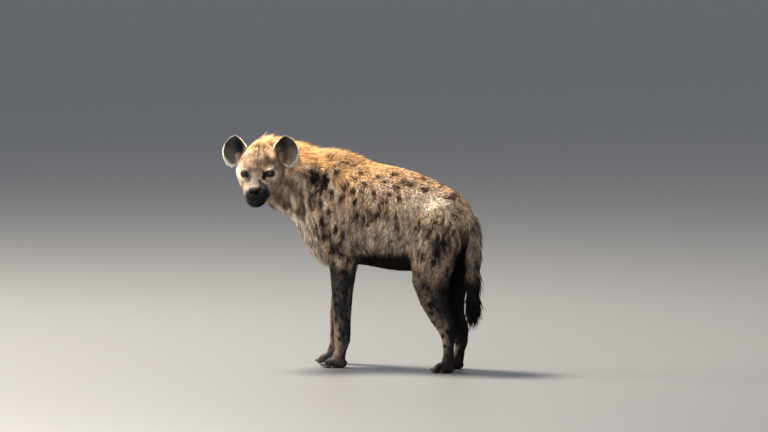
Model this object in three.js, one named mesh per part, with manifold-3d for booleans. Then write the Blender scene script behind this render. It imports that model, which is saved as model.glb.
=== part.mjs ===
// A spotted hyena, life size, standing on all fours and looking back past its left shoulder.
// Millimetres. The body faces minus Y, its left side is plus X, and the floor is Z = 0.
// Every piece goes out to the tips of the coat.
// Flesh is made of lofts, and neighbours are cut a hair apart.
import * as THREE from "three";
import Module from "manifold-3d";

const wasm = await Module();
wasm.setup();

// Driving dimensions.
const WITHERS = 812; // floor to the top of the mane at the shoulders
const SHOULDERS_AT = -262; // where the neck joins the trunk
const TRUNK_BACK = 345; // the root of the tail
const BELLY = 361; // floor to the lowest point of the belly
const EYES_AT = new THREE.Vector3(220, -453, 724); // midway between the eyes
const HEAD_TURN = THREE.MathUtils.degToRad(23); // from plus X, so the face looks left and back
const HEAD_BOW = THREE.MathUtils.degToRad(19); // the muzzle points this far down
const EYE_RADIUS = 13;
const EYE_OUT = 46.5; // from the middle of the face to the middle of an eye
const GAP = 0.3; // between neighbours

const LEFT = 1;
const RIGHT = -1;
const X = new THREE.Vector3(1, 0, 0);
const Y = new THREE.Vector3(0, 1, 0);
const Z = new THREE.Vector3(0, 0, 1);

// Stations with every number of theirs eased from one to the next.
// That way a few named ones make a smooth form.
function eased(stations, steps) {
  const keys = Object.keys(stations[0]);
  const at = (i) => stations[Math.min(Math.max(i, 0), stations.length - 1)];
  const made = [];
  for (let i = 0; i < stations.length - 1; i++) {
    for (let s = 0; s < steps; s++) {
      const t = s / steps;
      const station = {};
      for (const key of keys) {
        const [a, b, c, d] = [at(i - 1)[key], at(i)[key], at(i + 1)[key], at(i + 2)[key]];
        const slope = (c - a) / 2;
        const bend = a - 2.5 * b + 2 * c - d / 2;
        const rise = (d - a) / 2 + 1.5 * (b - c);
        station[key] = b + t * (slope + t * (bend + t * rise));
      }
      made.push(station);
    }
  }
  made.push({ ...at(stations.length - 1) });
  return made;
}

const signedPower = (value, power) => Math.sign(value) * Math.abs(value) ** power;

// One ring round a station.
// side is its half width, over and under are its reach to either side of the path.
function ring(station, way, hint, around, round, grow, shrink = 1) {
  const side = hint.clone().addScaledVector(way, -hint.dot(way)).normalize();
  const over = new THREE.Vector3().crossVectors(side, way);
  const points = [];
  for (let j = 0; j < around; j++) {
    const angle = (2 * Math.PI * j) / around;
    const across = signedPower(Math.cos(angle), round) * (station.side + grow) * shrink;
    const reach = (Math.sin(angle) > 0 ? station.over : station.under) + grow;
    points.push(
      new THREE.Vector3(station.x, station.y, station.z)
        .addScaledVector(side, across)
        .addScaledVector(over, signedPower(Math.sin(angle), round) * reach * shrink),
    );
  }
  return points;
}

// A closed skin over rings along a path.
// way fixes the direction that all rings face; else they face along the path.
// startCap and endCap round an end off over that length.
// round is 1 for ellipses and less for squarer rings.
function loft(stations, options = {}) {
  const { steps = 2, around = 16, hint = X, way, level = false, round = 1, grow = 0 } = options;
  const { startCap = 0, endCap = 0, capAngles = [Math.PI / 6, Math.PI / 3] } = options;
  const path = eased(stations, steps);
  const centre = (i) => {
    const at = path[Math.min(Math.max(i, 0), path.length - 1)];
    return new THREE.Vector3(at.x, at.y, at.z);
  };
  const heading = (i) => {
    if (way) return way.clone();
    const along = centre(i + 1).sub(centre(i - 1));
    if (level) along.z = 0;
    return along.normalize();
  };
  const hintAt = (i) => (level ? new THREE.Vector3().crossVectors(heading(i), Z) : hint);
  const rings = path.map((station, i) => ring(station, heading(i), hintAt(i), around, round, grow));
  const first = heading(0);
  const last = heading(path.length - 1);
  const cap = (i, direction, length) => {
    const made = [];
    for (const angle of capAngles) {
      const at = centre(i).addScaledVector(direction, Math.sin(angle) * (length + grow));
      const station = { ...path[i], x: at.x, y: at.y, z: at.z };
      made.push(ring(station, heading(i), hintAt(i), around, round, grow, Math.cos(angle)));
    }
    return made;
  };
  const end = path.length - 1;
  if (startCap) rings.unshift(...cap(0, first.clone().negate(), startCap).reverse());
  if (endCap) rings.push(...cap(end, last, endCap));
  const startPole = centre(0).addScaledVector(first, -(startCap + grow));
  const endPole = centre(end).addScaledVector(last, endCap + grow);
  return skinOver(rings, startPole, endPole);
}

// Joins rings of points, in order, into one closed geometry with a pole at each end.
function skinOver(rings, startPole, endPole) {
  const around = rings[0].length;
  const points = [startPole, ...rings.flat(), endPole];
  const at = (i, j) => 1 + i * around + (j % around);
  const index = [];
  for (let j = 0; j < around; j++) index.push(0, at(0, j), at(0, j + 1));
  for (let i = 0; i + 1 < rings.length; i++) {
    for (let j = 0; j < around; j++) {
      index.push(at(i, j), at(i + 1, j), at(i, j + 1));
      index.push(at(i + 1, j), at(i + 1, j + 1), at(i, j + 1));
    }
  }
  const end = points.length - 1;
  const last = rings.length - 1;
  for (let j = 0; j < around; j++) index.push(end, at(last, j + 1), at(last, j));
  return new THREE.BufferGeometry().setFromPoints(points).setIndex(index);
}

const ONE_RING = [Math.PI / 4];

// A rounded lump, its three half sizes along its own axes.
function lump(centre, halves, { grow = 0, turn = 0, around = 12 } = {}) {
  const ball = new THREE.SphereGeometry(1, around, Math.ceil(around * 0.55));
  ball.scale(halves[0] + grow, halves[1] + grow, halves[2] + grow);
  ball.rotateZ(turn);
  return ball.translate(...centre);
}

function boxAround(lowest, highest) {
  const size = highest.map((h, i) => h - lowest[i]);
  const middle = highest.map((h, i) => (h + lowest[i]) / 2);
  return new THREE.BoxGeometry(...size).translate(...middle);
}

// Points that lie on one spot become one vertex, which a solid needs.
function solid(geometry) {
  const position = geometry.getAttribute("position");
  const index = geometry.index ? [...geometry.index.array] : [...Array(position.count).keys()];
  const known = new Map();
  const points = [];
  const merged = index.map((i) => {
    const point = [position.getX(i), position.getY(i), position.getZ(i)];
    const key = point.map((n) => Math.round(n * 1e3)).join();
    if (!known.has(key)) {
      known.set(key, points.length / 3);
      points.push(...point);
    }
    return known.get(key);
  });
  const kept = [];
  for (let i = 0; i < merged.length; i += 3) {
    const [a, b, c] = merged.slice(i, i + 3);
    if (a !== b && b !== c && c !== a) kept.push(a, b, c);
  }
  const vertProperties = new Float32Array(points);
  const triVerts = new Uint32Array(kept);
  return new wasm.Manifold(new wasm.Mesh({ numProp: 3, vertProperties, triVerts }));
}

function geometryOf(shape) {
  const mesh = shape.getMesh();
  const geometry = new THREE.BufferGeometry();
  geometry.setAttribute("position", new THREE.BufferAttribute(mesh.vertProperties, 3));
  geometry.setIndex(new THREE.BufferAttribute(mesh.triVerts, 1));
  geometry.computeVertexNormals();
  return geometry;
}

// A cut can leave crumbs behind a neighbour. The piece itself is the largest that is left.
function largest(shape) {
  return shape.decompose().reduce((best, next) => (next.volume() > best.volume() ? next : best));
}

const moved = (shape, matrix) => solid(geometryOf(shape).applyMatrix4(matrix));

const hide = (color, roughness = 0.9) =>
  new THREE.MeshStandardMaterial({ color, roughness, metalness: 0 });

const COAT = hide("#a88a68");
const MANE = hide("#c69a60");
const DARK_COAT = hide("#4d4239");
const FACE = hide("#a08a76");
const EAR = hide("#6b5f56");
const BLACK_HAIR = hide("#1b1715");
const BARE_NOSE = hide("#17161a", 0.45);
const EYE = hide("#1d120b", 0.1);
const HORN = hide("#3a332c", 0.5);

function piece(name, shape, material) {
  const mesh = new THREE.Mesh(geometryOf(shape), material);
  mesh.name = name;
  return mesh;
}

// Trunk. top, bottom and wide are heights of the back, the underside and the broadest level.
const upright = ({ y, top, bottom, wide, side }) => ({
  x: 0,
  y,
  z: wide,
  side,
  over: top - wide,
  under: wide - bottom,
});

const TRUNK = [
  { y: SHOULDERS_AT, top: WITHERS, bottom: 386, wide: 566, side: 106 }, // point of the shoulder
  { y: -185, top: WITHERS - 9, bottom: 382, wide: 552, side: 121 }, // withers
  { y: -100, top: 778, bottom: 376, wide: 540, side: 132 }, // behind the elbow
  { y: -14, top: 766, bottom: BELLY + 4, wide: 526, side: 139 }, // last rib
  { y: 70, top: 750, bottom: BELLY, wide: 516, side: 138 }, // belly
  { y: 156, top: 724, bottom: BELLY + 10, wide: 516, side: 126 }, // flank
  { y: 225, top: 693, bottom: 420, wide: 530, side: 110 }, // croup
  { y: 280, top: 672, bottom: 470, wide: 546, side: 88 }, // hip
  { y: TRUNK_BACK - 32, top: 632, bottom: 505, wide: 558, side: 58 }, // root of the tail
].map(upright);

const BODY_ROUND = 0.92;
const RUMP_CAP = 20;

const trunkSolid = (grow = 0) => {
  const form = { steps: 2, around: 18, way: Y, endCap: RUMP_CAP, round: BODY_ROUND, grow };
  return solid(loft(TRUNK, form));
};

// Head, in its own frame.
// Its origin is midway between the eyes, plus X runs to the nose, plus Y to its left ear.
const headStation = ({ x, top, bottom, wide, side }) => ({
  x,
  y: 0,
  z: wide,
  side,
  over: top - wide,
  under: wide - bottom,
});

const HEAD = [
  { x: -126, top: 60, bottom: -52, wide: 4, side: 64 }, // back of the skull
  { x: -98, top: 76, bottom: -72, wide: 4, side: 81 }, // crown, between the ears
  { x: -60, top: 74, bottom: -84, wide: 0, side: 86 }, // forehead and cheeks
  { x: -25, top: 59, bottom: -90, wide: -6, side: 80 }, // cheekbones
  { x: 5, top: 39, bottom: -93, wide: -26, side: 67 }, // eyes
  { x: 35, top: 18, bottom: -94, wide: -42, side: 55 }, // bridge of the nose
  { x: 65, top: 5, bottom: -94, wide: -50, side: 49 }, // muzzle
  { x: 92, top: -5, bottom: -92, wide: -53, side: 44 }, // lips
  { x: 106, top: -13, bottom: -86, wide: -54, side: 37 }, // chin
].map(headStation);

const NOSE_AT = [113, 0, -27];
const NOSE_HALVES = [14, 23, 16];
const NOSTRIL_AT = [13, 12, -1]; // from the middle of the nose
const NOSTRIL_HALVES = [8, 5, 5];
const EYE_AT = [10, EYE_OUT, 8];
const EYE_DENT = { at: [29, 55, 8], halves: [20, 18, 13], turn: 0.5 };

const mirrored = ([x, y, z], hand) => [x, y * hand, z];

const eyeSolid = (hand, grow = 0) => {
  const halves = [EYE_RADIUS, EYE_RADIUS, EYE_RADIUS];
  return solid(lump(mirrored(EYE_AT, hand), halves, { grow, around: 10 }));
};

const dentSolid = (hand) => {
  const { at, halves, turn } = EYE_DENT;
  return solid(lump(mirrored(at, hand), halves, { turn: -turn * hand, around: 10 }));
};

const noseBlock = (grow = 0) => solid(lump(NOSE_AT, NOSE_HALVES, { grow }));

function noseSolid() {
  let nose = noseBlock();
  for (const hand of [LEFT, RIGHT]) {
    const at = mirrored(NOSTRIL_AT, hand).map((n, i) => n + NOSE_AT[i]);
    nose = nose.subtract(solid(lump(at, NOSTRIL_HALVES, { around: 8 })));
  }
  return nose;
}

const HEAD_FORM = { steps: 2, around: 16, hint: Y, way: X, startCap: 24, endCap: 14, round: 0.95 };
const skullSolid = (grow = 0) => solid(loft(HEAD, { ...HEAD_FORM, grow }));

function headAndJaw() {
  let shape = skullSolid();
  for (const hand of [LEFT, RIGHT]) {
    shape = shape.subtract(dentSolid(hand));
    shape = shape.subtract(eyeSolid(hand, GAP));
  }
  return shape.subtract(noseBlock(GAP));
}

// The line of the mouth, as places along and up the head, from in front of the nose to behind the jaw.
const MOUTH = {
  ahead: [160, -63],
  lips: [104, -63],
  sag: [60, -76],
  corner: [12, -72],
  angle: [-42, -108], // of the jaw
};
const UNDER_JAW = -140;
const ACROSS_HEAD = 300;

// What lies under the line of the mouth, as an outline seen from the side that is drawn across the head.
function jawSide(grow = 0) {
  const outline = new THREE.Shape();
  outline.moveTo(MOUTH.ahead[0], MOUTH.ahead[1] + grow);
  outline.lineTo(MOUTH.lips[0], MOUTH.lips[1] + grow);
  outline.quadraticCurveTo(MOUTH.sag[0], MOUTH.sag[1] + grow, MOUTH.corner[0], MOUTH.corner[1] + grow);
  outline.lineTo(MOUTH.angle[0] - grow, MOUTH.angle[1]);
  outline.lineTo(MOUTH.angle[0] - grow, UNDER_JAW);
  outline.lineTo(MOUTH.ahead[0], UNDER_JAW);
  const settings = { depth: ACROSS_HEAD, bevelEnabled: false, curveSegments: 6 };
  const across = new THREE.ExtrudeGeometry(outline, settings);
  return solid(across.rotateX(Math.PI / 2).translate(0, ACROSS_HEAD / 2, 0));
}

// Ears: a cup with a rim, as an outline in the plane of the ear and how deep the cup goes behind it.
const EAR_CENTRE = [-88, 97, 55];
const EAR_DEPTH = 40;
const EAR_WALL = 9;
const EAR_RIM = 2.2;
const EAR_SWELL = 4; // how much thicker the back of the cup is than its rim
const EAR_ROUND = 2.6; // higher makes a flatter floor to the cup
const EAR_TILT = THREE.MathUtils.degToRad(-16);
const EAR_OUTWARD = THREE.MathUtils.degToRad(10);
const EAR_CLEAR = 60; // the space in front of the ear that the neck keeps out of
const EAR_SHARES = [0.4, 0.75, 0.95];
const EAR_AROUND = 16;
const EAR_OUTLINE = [
  [-2, 61], // tip
  [24, 47],
  [45, 8], // outer edge
  [38, -32],
  [12, -57], // lobe
  [-20, -30],
  [-46, 12], // where it meets the crown
  [-27, 42],
];

// filled leaves the hollow of the ear out and takes in the space in front of it.
function earSolid(hand, filled = false) {
  const outline = new THREE.CatmullRomCurve3(
    EAR_OUTLINE.map(([out, up]) => new THREE.Vector3(0, out * hand, up)),
    true,
  );
  const rim = outline.getSpacedPoints(EAR_AROUND).slice(0, EAR_AROUND);
  if (hand === LEFT) rim.reverse();
  const spare = filled ? GAP : 0;
  const layer = (share, back) => rim.map((p) => new THREE.Vector3(-back, p.y * share, p.z * share));
  const bowl = (share, depth) => depth * (1 - share ** EAR_ROUND);
  const inside = (share) => layer(share, bowl(share, EAR_DEPTH - EAR_WALL) + EAR_RIM);
  const back = (share) => bowl(share, EAR_DEPTH) + EAR_RIM * 2 + EAR_SWELL * (1 - share) + spare;
  const rings = [
    ...(filled ? [layer(1.01, -EAR_CLEAR)] : EAR_SHARES.map(inside)),
    layer(filled ? 1.01 : 1, 0),
    ...EAR_SHARES.toReversed().map((share) => layer(share, back(share))),
  ];
  const deepest = filled ? -EAR_CLEAR : EAR_DEPTH - EAR_WALL + EAR_RIM;
  const pole = (depth) => new THREE.Vector3(-depth, 0, 0);
  const cup = skinOver(rings, pole(deepest), pole(EAR_DEPTH + EAR_RIM * 2 + EAR_SWELL + spare));
  cup.rotateY(EAR_TILT).rotateZ(EAR_OUTWARD * hand);
  return solid(cup.translate(...mirrored(EAR_CENTRE, hand)));
}

// Neck: its path bends to the left, and its rings stand upright across it.
const NECK = [
  { x: 0, y: SHOULDERS_AT, top: WITHERS, bottom: 386, wide: 566, side: 106 },
  { x: 0, y: -306, top: WITHERS + 1, bottom: 407, wide: 590, side: 102 }, // breast
  { x: 3, y: -352, top: WITHERS + 10, bottom: 470, wide: 634, side: 98 },
  { x: 18, y: -405, top: WITHERS + 23, bottom: 547, wide: 676, side: 94 },
  { x: 46, y: -452, top: WITHERS + 35, bottom: 588, wide: 706, side: 90 },
  { x: 84, y: -488, top: WITHERS + 43, bottom: 616, wide: 728, side: 84 }, // nape
  { x: 126, y: -508, top: WITHERS + 32, bottom: 644, wide: 742, side: 74 },
].map((s) => ({ ...upright(s), x: s.x }));

const neckSolid = (grow = 0) =>
  solid(loft(NECK, { steps: 2, around: 18, level: true, round: BODY_ROUND, grow }));

// Tail: a dock that curves down from the croup, and the brush of long hair that hangs from it.
const TAIL = [
  { x: 0, y: 290, z: 600, side: 30, over: 28, under: 26 },
  { x: 0, y: 328, z: 577, side: 31, over: 32, under: 28 },
  { x: 0, y: 353, z: 533, side: 32, over: 34, under: 34 },
  { x: 0, y: 354, z: 463, side: 32, over: 38, under: 40 },
  { x: 0, y: 350, z: 398, side: 31, over: 36, under: 36 },
  { x: 0, y: 350, z: 337, side: 29, over: 25, under: 26 },
  { x: 0, y: 347, z: 267, side: 22, over: 20, under: 22 },
  { x: 0, y: 342, z: 195, side: 11, over: 11, under: 12 },
];
const BRUSH_FROM = 398; // the height where the long hair begins

// Legs. Each is lofted whole from the body to the floor, then parted at its joints.
// over is the reach towards the tail, and under towards the head.
function foreleg(hand, { elbow, wrist, fetlock }) {
  const stations = [
    { x: 60, y: -205, z: 734, side: 44, over: 48, under: 44 }, // top of the shoulder blade
    { x: 84, y: -226, z: 664, side: 56, over: 72, under: 62 },
    { x: 94, y: -238, z: 580, side: 54, over: 84, under: 72 }, // point of the shoulder
    { x: 98, y: elbow.y - 28, z: 490, side: 48, over: 80, under: 66 },
    { x: 95, y: elbow.y - 4, z: 408, side: 40, over: 60, under: 56 }, // elbow
    { x: 90, y: (elbow.y * 2 + wrist.y) / 3, z: 346, side: 37, over: 49, under: 48 },
    { x: 86, y: (elbow.y + wrist.y) / 2, z: 272, side: 35, over: 43, under: 43 }, // forearm
    { x: 84, y: wrist.y + 1, z: 186, side: 30, over: 37, under: 38 },
    { x: 82, y: wrist.y, z: 103, side: 28, over: 34, under: 33 }, // wrist
    { x: 82, y: fetlock.y + 2, z: 66, side: 25, over: 23, under: 24 },
    { x: 82, y: fetlock.y - 6, z: 34, side: 28, over: 24, under: 26 }, // above the toes
  ];
  return stations.map((s) => ({ ...s, x: s.x * hand }));
}

function hindleg(hand, { knee, hock, fetlock }) {
  const stations = [
    { x: 62, y: 246, z: 616, side: 44, over: 50, under: 66 }, // hip
    { x: 77, y: 242, z: 556, side: 54, over: 96, under: 98 },
    { x: 84, y: knee.y + 72, z: 486, side: 56, over: 116, under: 114 }, // buttock
    { x: 89, y: knee.y + 62, z: 411, side: 53, over: 98, under: 98 },
    { x: 92, y: knee.y + 55, z: 341, side: 45, over: 80, under: 82 }, // knee
    { x: 91, y: (knee.y + hock.y) / 2 + 6, z: hock.z + 108, side: 36, over: 62, under: 62 },
    { x: 88, y: hock.y - 30, z: hock.z + 50, side: 29, over: 50, under: 50 },
    { x: 86, y: hock.y - 3, z: hock.z + 2, side: 26, over: 41, under: 40 }, // hock
    { x: 85, y: hock.y + 4, z: hock.z - 42, side: 23, over: 27, under: 28 },
    { x: 85, y: (hock.y + fetlock.y) / 2 + 2, z: 74, side: 22, over: 20, under: 21 },
    { x: 85, y: fetlock.y - 4, z: 34, side: 26, over: 23, under: 25 },
  ];
  return stations.map((s) => ({ ...s, x: s.x * hand }));
}

const LEG_FORM = { steps: 1, around: 12, round: 0.8, startCap: 34, endCap: 12, capAngles: ONE_RING };
const legSolid = (stations) => solid(loft(stations, LEG_FORM));

const FAR = 2000; // past the animal on every side
const between = (low, high) => solid(boxAround([-FAR, -FAR, low], [FAR, FAR, high]));

// Paws, in a frame on the floor under the ball of the foot, which faces minus Y.
// Each has four toes with a blunt claw on each.
const TOES = [
  { out: -29, reach: 26, splay: -0.2 },
  { out: -11, reach: 42, splay: -0.06 },
  { out: 11, reach: 42, splay: 0.06 },
  { out: 29, reach: 26, splay: 0.2 },
];
const TOE_SIDE = 14;
const CLAW_LENGTH = 17;

function toeSolid({ out, reach, splay }, scale) {
  const tip = new THREE.Vector3(out + reach * splay, -reach, 13);
  const stations = [
    { x: out * 0.7, y: 6, z: 32, side: TOE_SIDE - 2, over: 12, under: 12 },
    { x: out * 0.9, y: -reach * 0.4, z: 27, side: TOE_SIDE + 1, over: 15, under: 16 },
    { x: tip.x, y: tip.y, z: tip.z, side: TOE_SIDE - 2, over: 13, under: 14 },
  ];
  const toe = loft(stations, { steps: 1, around: 6, endCap: 8, capAngles: ONE_RING });
  return solid(toe.scale(scale, scale, 1));
}

function clawSolid({ out, reach, splay }, scale, grow = 0) {
  const from = new THREE.Vector3(out + reach * splay, -reach - 2, 15);
  const stations = [
    { x: from.x, y: from.y, z: from.z, side: 4, over: 5, under: 5 },
    { x: from.x + splay * 9, y: from.y - 11, z: from.z - 1.5, side: 3.6, over: 4.6, under: 4.6 },
    { x: from.x + splay * 18, y: from.y - CLAW_LENGTH, z: from.z - 7, side: 2, over: 2.4, under: 2.4 },
  ];
  return solid(loft(stations, { steps: 1, around: 5, grow }).scale(scale, scale, 1));
}

function pawSolid(scale, shank) {
  const ball = lump([0, 6, 17], [35 * scale, 33 * scale, 24], { around: 8 });
  let shape = solid(ball).add(shank);
  for (const toe of TOES) shape = shape.add(toeSolid(toe, scale));
  for (const toe of TOES) shape = shape.subtract(clawSolid(toe, scale, GAP));
  return largest(shape.subtract(between(-FAR, 0)));
}

const WRIST_CUT = 118;
const ELBOW_CUT = 382;
const KNEE_CUT = 328;
const HOCK_CUT = 112;

const LEGS = [
  {
    name: "left_fore",
    hand: LEFT,
    parts: ["shoulder", "forearm", "paw"],
    cuts: [ELBOW_CUT, WRIST_CUT],
    scale: 1.08,
    paw: { x: 82, y: -190, turn: 0.05 },
    stations: foreleg(LEFT, { elbow: { y: -163 }, wrist: { y: -168 }, fetlock: { y: -177 } }),
  },
  {
    name: "right_fore",
    hand: RIGHT,
    parts: ["shoulder", "forearm", "paw"],
    cuts: [ELBOW_CUT, WRIST_CUT],
    scale: 1.08,
    paw: { x: -82, y: -310, turn: -0.05 },
    stations: foreleg(RIGHT, { elbow: { y: -247 }, wrist: { y: -282 }, fetlock: { y: -297 } }),
  },
  {
    name: "left_hind",
    hand: LEFT,
    parts: ["thigh", "shank", "paw"],
    cuts: [KNEE_CUT, HOCK_CUT],
    scale: 0.97,
    paw: { x: 85, y: 277, turn: 0.08 },
    stations: hindleg(LEFT, { knee: { y: 166 }, hock: { y: 289, z: 163 }, fetlock: { y: 292 } }),
  },
  {
    name: "right_hind",
    hand: RIGHT,
    parts: ["thigh", "shank", "paw"],
    cuts: [KNEE_CUT, HOCK_CUT],
    scale: 0.97,
    paw: { x: -85, y: 222, turn: -0.08 },
    stations: hindleg(RIGHT, { knee: { y: 140 }, hock: { y: 247, z: 138 }, fetlock: { y: 239 } }),
  },
];

const hyena = new THREE.Group();

const head = new THREE.Group();
head.position.copy(EYES_AT);
head.rotation.set(0, HEAD_BOW, HEAD_TURN, "ZYX");
head.updateMatrix();

const bothJaws = headAndJaw();
const skull = bothJaws.subtract(jawSide(GAP));
const jaw = bothJaws.intersect(jawSide());
head.add(piece("head", largest(skull), FACE), piece("lower_jaw", largest(jaw), DARK_COAT));
head.add(piece("nose", noseSolid(), BARE_NOSE));
for (const [side, hand] of [["left", LEFT], ["right", RIGHT]]) {
  head.add(piece(`${side}_eye`, eyeSolid(hand), EYE));
  head.add(piece(`${side}_ear`, largest(earSolid(hand).subtract(skullSolid(GAP))), EAR));
}
hyena.add(head);

const trunk = trunkSolid();
const trunkRoom = trunkSolid(GAP);
const headRoom = moved(skullSolid(GAP), head.matrix);
const earRoom = [LEFT, RIGHT].map((hand) => moved(earSolid(hand, true), head.matrix));
const neckRoom = neckSolid(GAP);
const ahead = solid(boxAround([-FAR, -FAR, 0], [FAR, SHOULDERS_AT - GAP, FAR]));
let neck = neckSolid().intersect(ahead).subtract(headRoom);
for (const ear of earRoom) neck = neck.subtract(ear);
hyena.add(piece("trunk", trunk, COAT), piece("neck", largest(neck), MANE));

const TAIL_FORM = { steps: 2, around: 10, endCap: 26, capAngles: ONE_RING };
const tail = solid(loft(TAIL, TAIL_FORM)).subtract(trunkRoom);
const legRooms = [];

for (const leg of LEGS) {
  const [upperCut, lowerCut] = leg.cuts;
  const whole = legSolid(leg.stations).subtract(trunkRoom).subtract(neckRoom);
  const upper = whole.intersect(between(upperCut + GAP, FAR));
  const lower = whole.intersect(between(lowerCut + GAP, upperCut));
  const foot = new THREE.Group();
  foot.position.set(leg.paw.x, leg.paw.y, 0);
  foot.rotation.z = leg.paw.turn;
  foot.updateMatrix();
  const pastern = moved(whole.intersect(between(0, lowerCut)), foot.matrix.clone().invert());
  foot.add(piece(`${leg.name}_${leg.parts[2]}`, pawSolid(leg.scale, pastern), DARK_COAT));
  TOES.forEach((toe, i) => {
    foot.add(piece(`${leg.name}_claw_${i + 1}`, clawSolid(toe, leg.scale), HORN));
  });
  hyena.add(piece(`${leg.name}_${leg.parts[0]}`, largest(upper), COAT));
  hyena.add(piece(`${leg.name}_${leg.parts[1]}`, largest(lower), DARK_COAT));
  hyena.add(foot);
  legRooms.push(legSolid(leg.stations));
}

const freeTail = legRooms.reduce((left, leg) => left.subtract(leg), tail);
hyena.add(piece("tail", largest(freeTail.intersect(between(BRUSH_FROM + GAP, FAR))), COAT));
hyena.add(piece("tail_brush", largest(freeTail.intersect(between(0, BRUSH_FROM))), BLACK_HAIR));

// The part's origin is on the floor, under the middle of the whole animal.
hyena.updateMatrixWorld(true);
const whole = new THREE.Box3().setFromObject(hyena, true);
hyena.position.set(-(whole.min.x + whole.max.x) / 2, -(whole.min.y + whole.max.y) / 2, -whole.min.z);

export default hyena;
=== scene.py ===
import math

import bmesh
import bpy
import numpy as np
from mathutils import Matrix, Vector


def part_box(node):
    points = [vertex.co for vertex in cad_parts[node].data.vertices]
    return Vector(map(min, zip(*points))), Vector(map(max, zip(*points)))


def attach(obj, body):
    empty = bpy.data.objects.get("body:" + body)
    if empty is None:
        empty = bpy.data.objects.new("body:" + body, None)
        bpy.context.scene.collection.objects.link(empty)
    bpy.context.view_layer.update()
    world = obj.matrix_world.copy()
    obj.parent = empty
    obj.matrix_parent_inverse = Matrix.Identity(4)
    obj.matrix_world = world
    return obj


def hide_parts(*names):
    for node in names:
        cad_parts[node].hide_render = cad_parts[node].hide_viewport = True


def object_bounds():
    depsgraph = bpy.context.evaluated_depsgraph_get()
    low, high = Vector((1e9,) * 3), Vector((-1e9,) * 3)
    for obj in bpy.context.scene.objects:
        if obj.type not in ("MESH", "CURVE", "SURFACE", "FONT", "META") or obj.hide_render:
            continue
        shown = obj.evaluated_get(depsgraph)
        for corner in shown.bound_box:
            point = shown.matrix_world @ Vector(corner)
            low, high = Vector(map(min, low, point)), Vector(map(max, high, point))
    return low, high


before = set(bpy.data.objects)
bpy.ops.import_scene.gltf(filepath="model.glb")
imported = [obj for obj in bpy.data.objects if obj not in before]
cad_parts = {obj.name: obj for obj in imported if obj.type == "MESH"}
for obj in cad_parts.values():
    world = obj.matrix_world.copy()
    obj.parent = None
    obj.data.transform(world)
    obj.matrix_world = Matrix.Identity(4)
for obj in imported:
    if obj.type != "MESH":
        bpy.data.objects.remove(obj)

import openvdb
from mathutils import Vector
from mathutils.bvhtree import BVHTree

cad_box = [list(corner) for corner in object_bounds()]

# THE FORM OF THE BODY
# One cast form with trunk, neck, tail and legs under a mounted hide. It lies inside the solids of the
# frame by the depth of the coat, and its joints are faired over as muscle is. Head and feet come next.
MM = 0.001
BODY_STEP = 5 * MM
BODY_MARGIN = 30 * MM
GAP_CLOSED = 1.5 * MM  # more than half of the cut between two neighbours
REACH = 80 * MM  # how far from the surface distances are known
LEGS = {
    "left_fore": ("shoulder", "forearm", "paw"),
    "right_fore": ("shoulder", "forearm", "paw"),
    "left_hind": ("thigh", "shank", "paw"),
    "right_hind": ("thigh", "shank", "paw"),
}
COAT_DEPTH = {
    "trunk": 11 * MM,
    "neck": 17 * MM,
    "head": 3 * MM,
    "lower_jaw": 3 * MM,
    "tail": 11 * MM,
    "tail_brush": 11 * MM,
    "shoulder": 9 * MM,
    "thigh": 9 * MM,
    "forearm": 4.5 * MM,
    "shank": 4.5 * MM,
    "paw": 3 * MM,
}
NEARBY = 16 * MM  # over this distance one piece's coat gives way to the next one's
MANE_DEPTH = 20 * MM  # what the hair along the top of the neck adds to that
MANE_DOWN = 150 * MM  # how far below the withers it begins,
MANE_BACK = 260 * MM  # how far behind the shoulders it ends,
MANE_FADE = 240 * MM
MANE_HALF = 45 * MM  # and half its width on the back
LEAN_BELOW = (300 * MM, 420 * MM)  # heights between which lean legs become a full body
BODY_SOFT = 2.4  # how much the form is softened there, in steps of the lattice
LEG_SOFT = 0.7
FLESH = ["trunk", "neck", "head", "lower_jaw", "tail", "tail_brush"]
FLESH += [f"{leg}_{part}" for leg, parts in LEGS.items() for part in parts]


def part_of(name, table):
    """The name that a node goes by in a table: its own, or that of the part of a leg that it is."""
    return name if name in table else name.rsplit("_", 1)[-1]


trunk_low, trunk_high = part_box("trunk")
MIDDLE = (trunk_low.x + trunk_high.x) / 2
SHOULDER_Y = trunk_low.y
WITHERS = trunk_high.z


def ease(value, start, end):
    """0 before start, 1 past end, and a smooth step between them."""
    share = np.clip((value - start) / (end - start), 0, 1)
    return share * share * (3 - 2 * share)


def joined(a, b, blend):
    """The union of two distance fields, with a fillet about as wide as blend."""
    near = np.maximum(blend - np.abs(a - b), 0) / blend
    return np.minimum(a, b) - near * near * blend / 4


def carved(a, tool, blend):
    """What is left of a distance field when a tool has cut it."""
    return -joined(-a, tool, blend)


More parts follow.
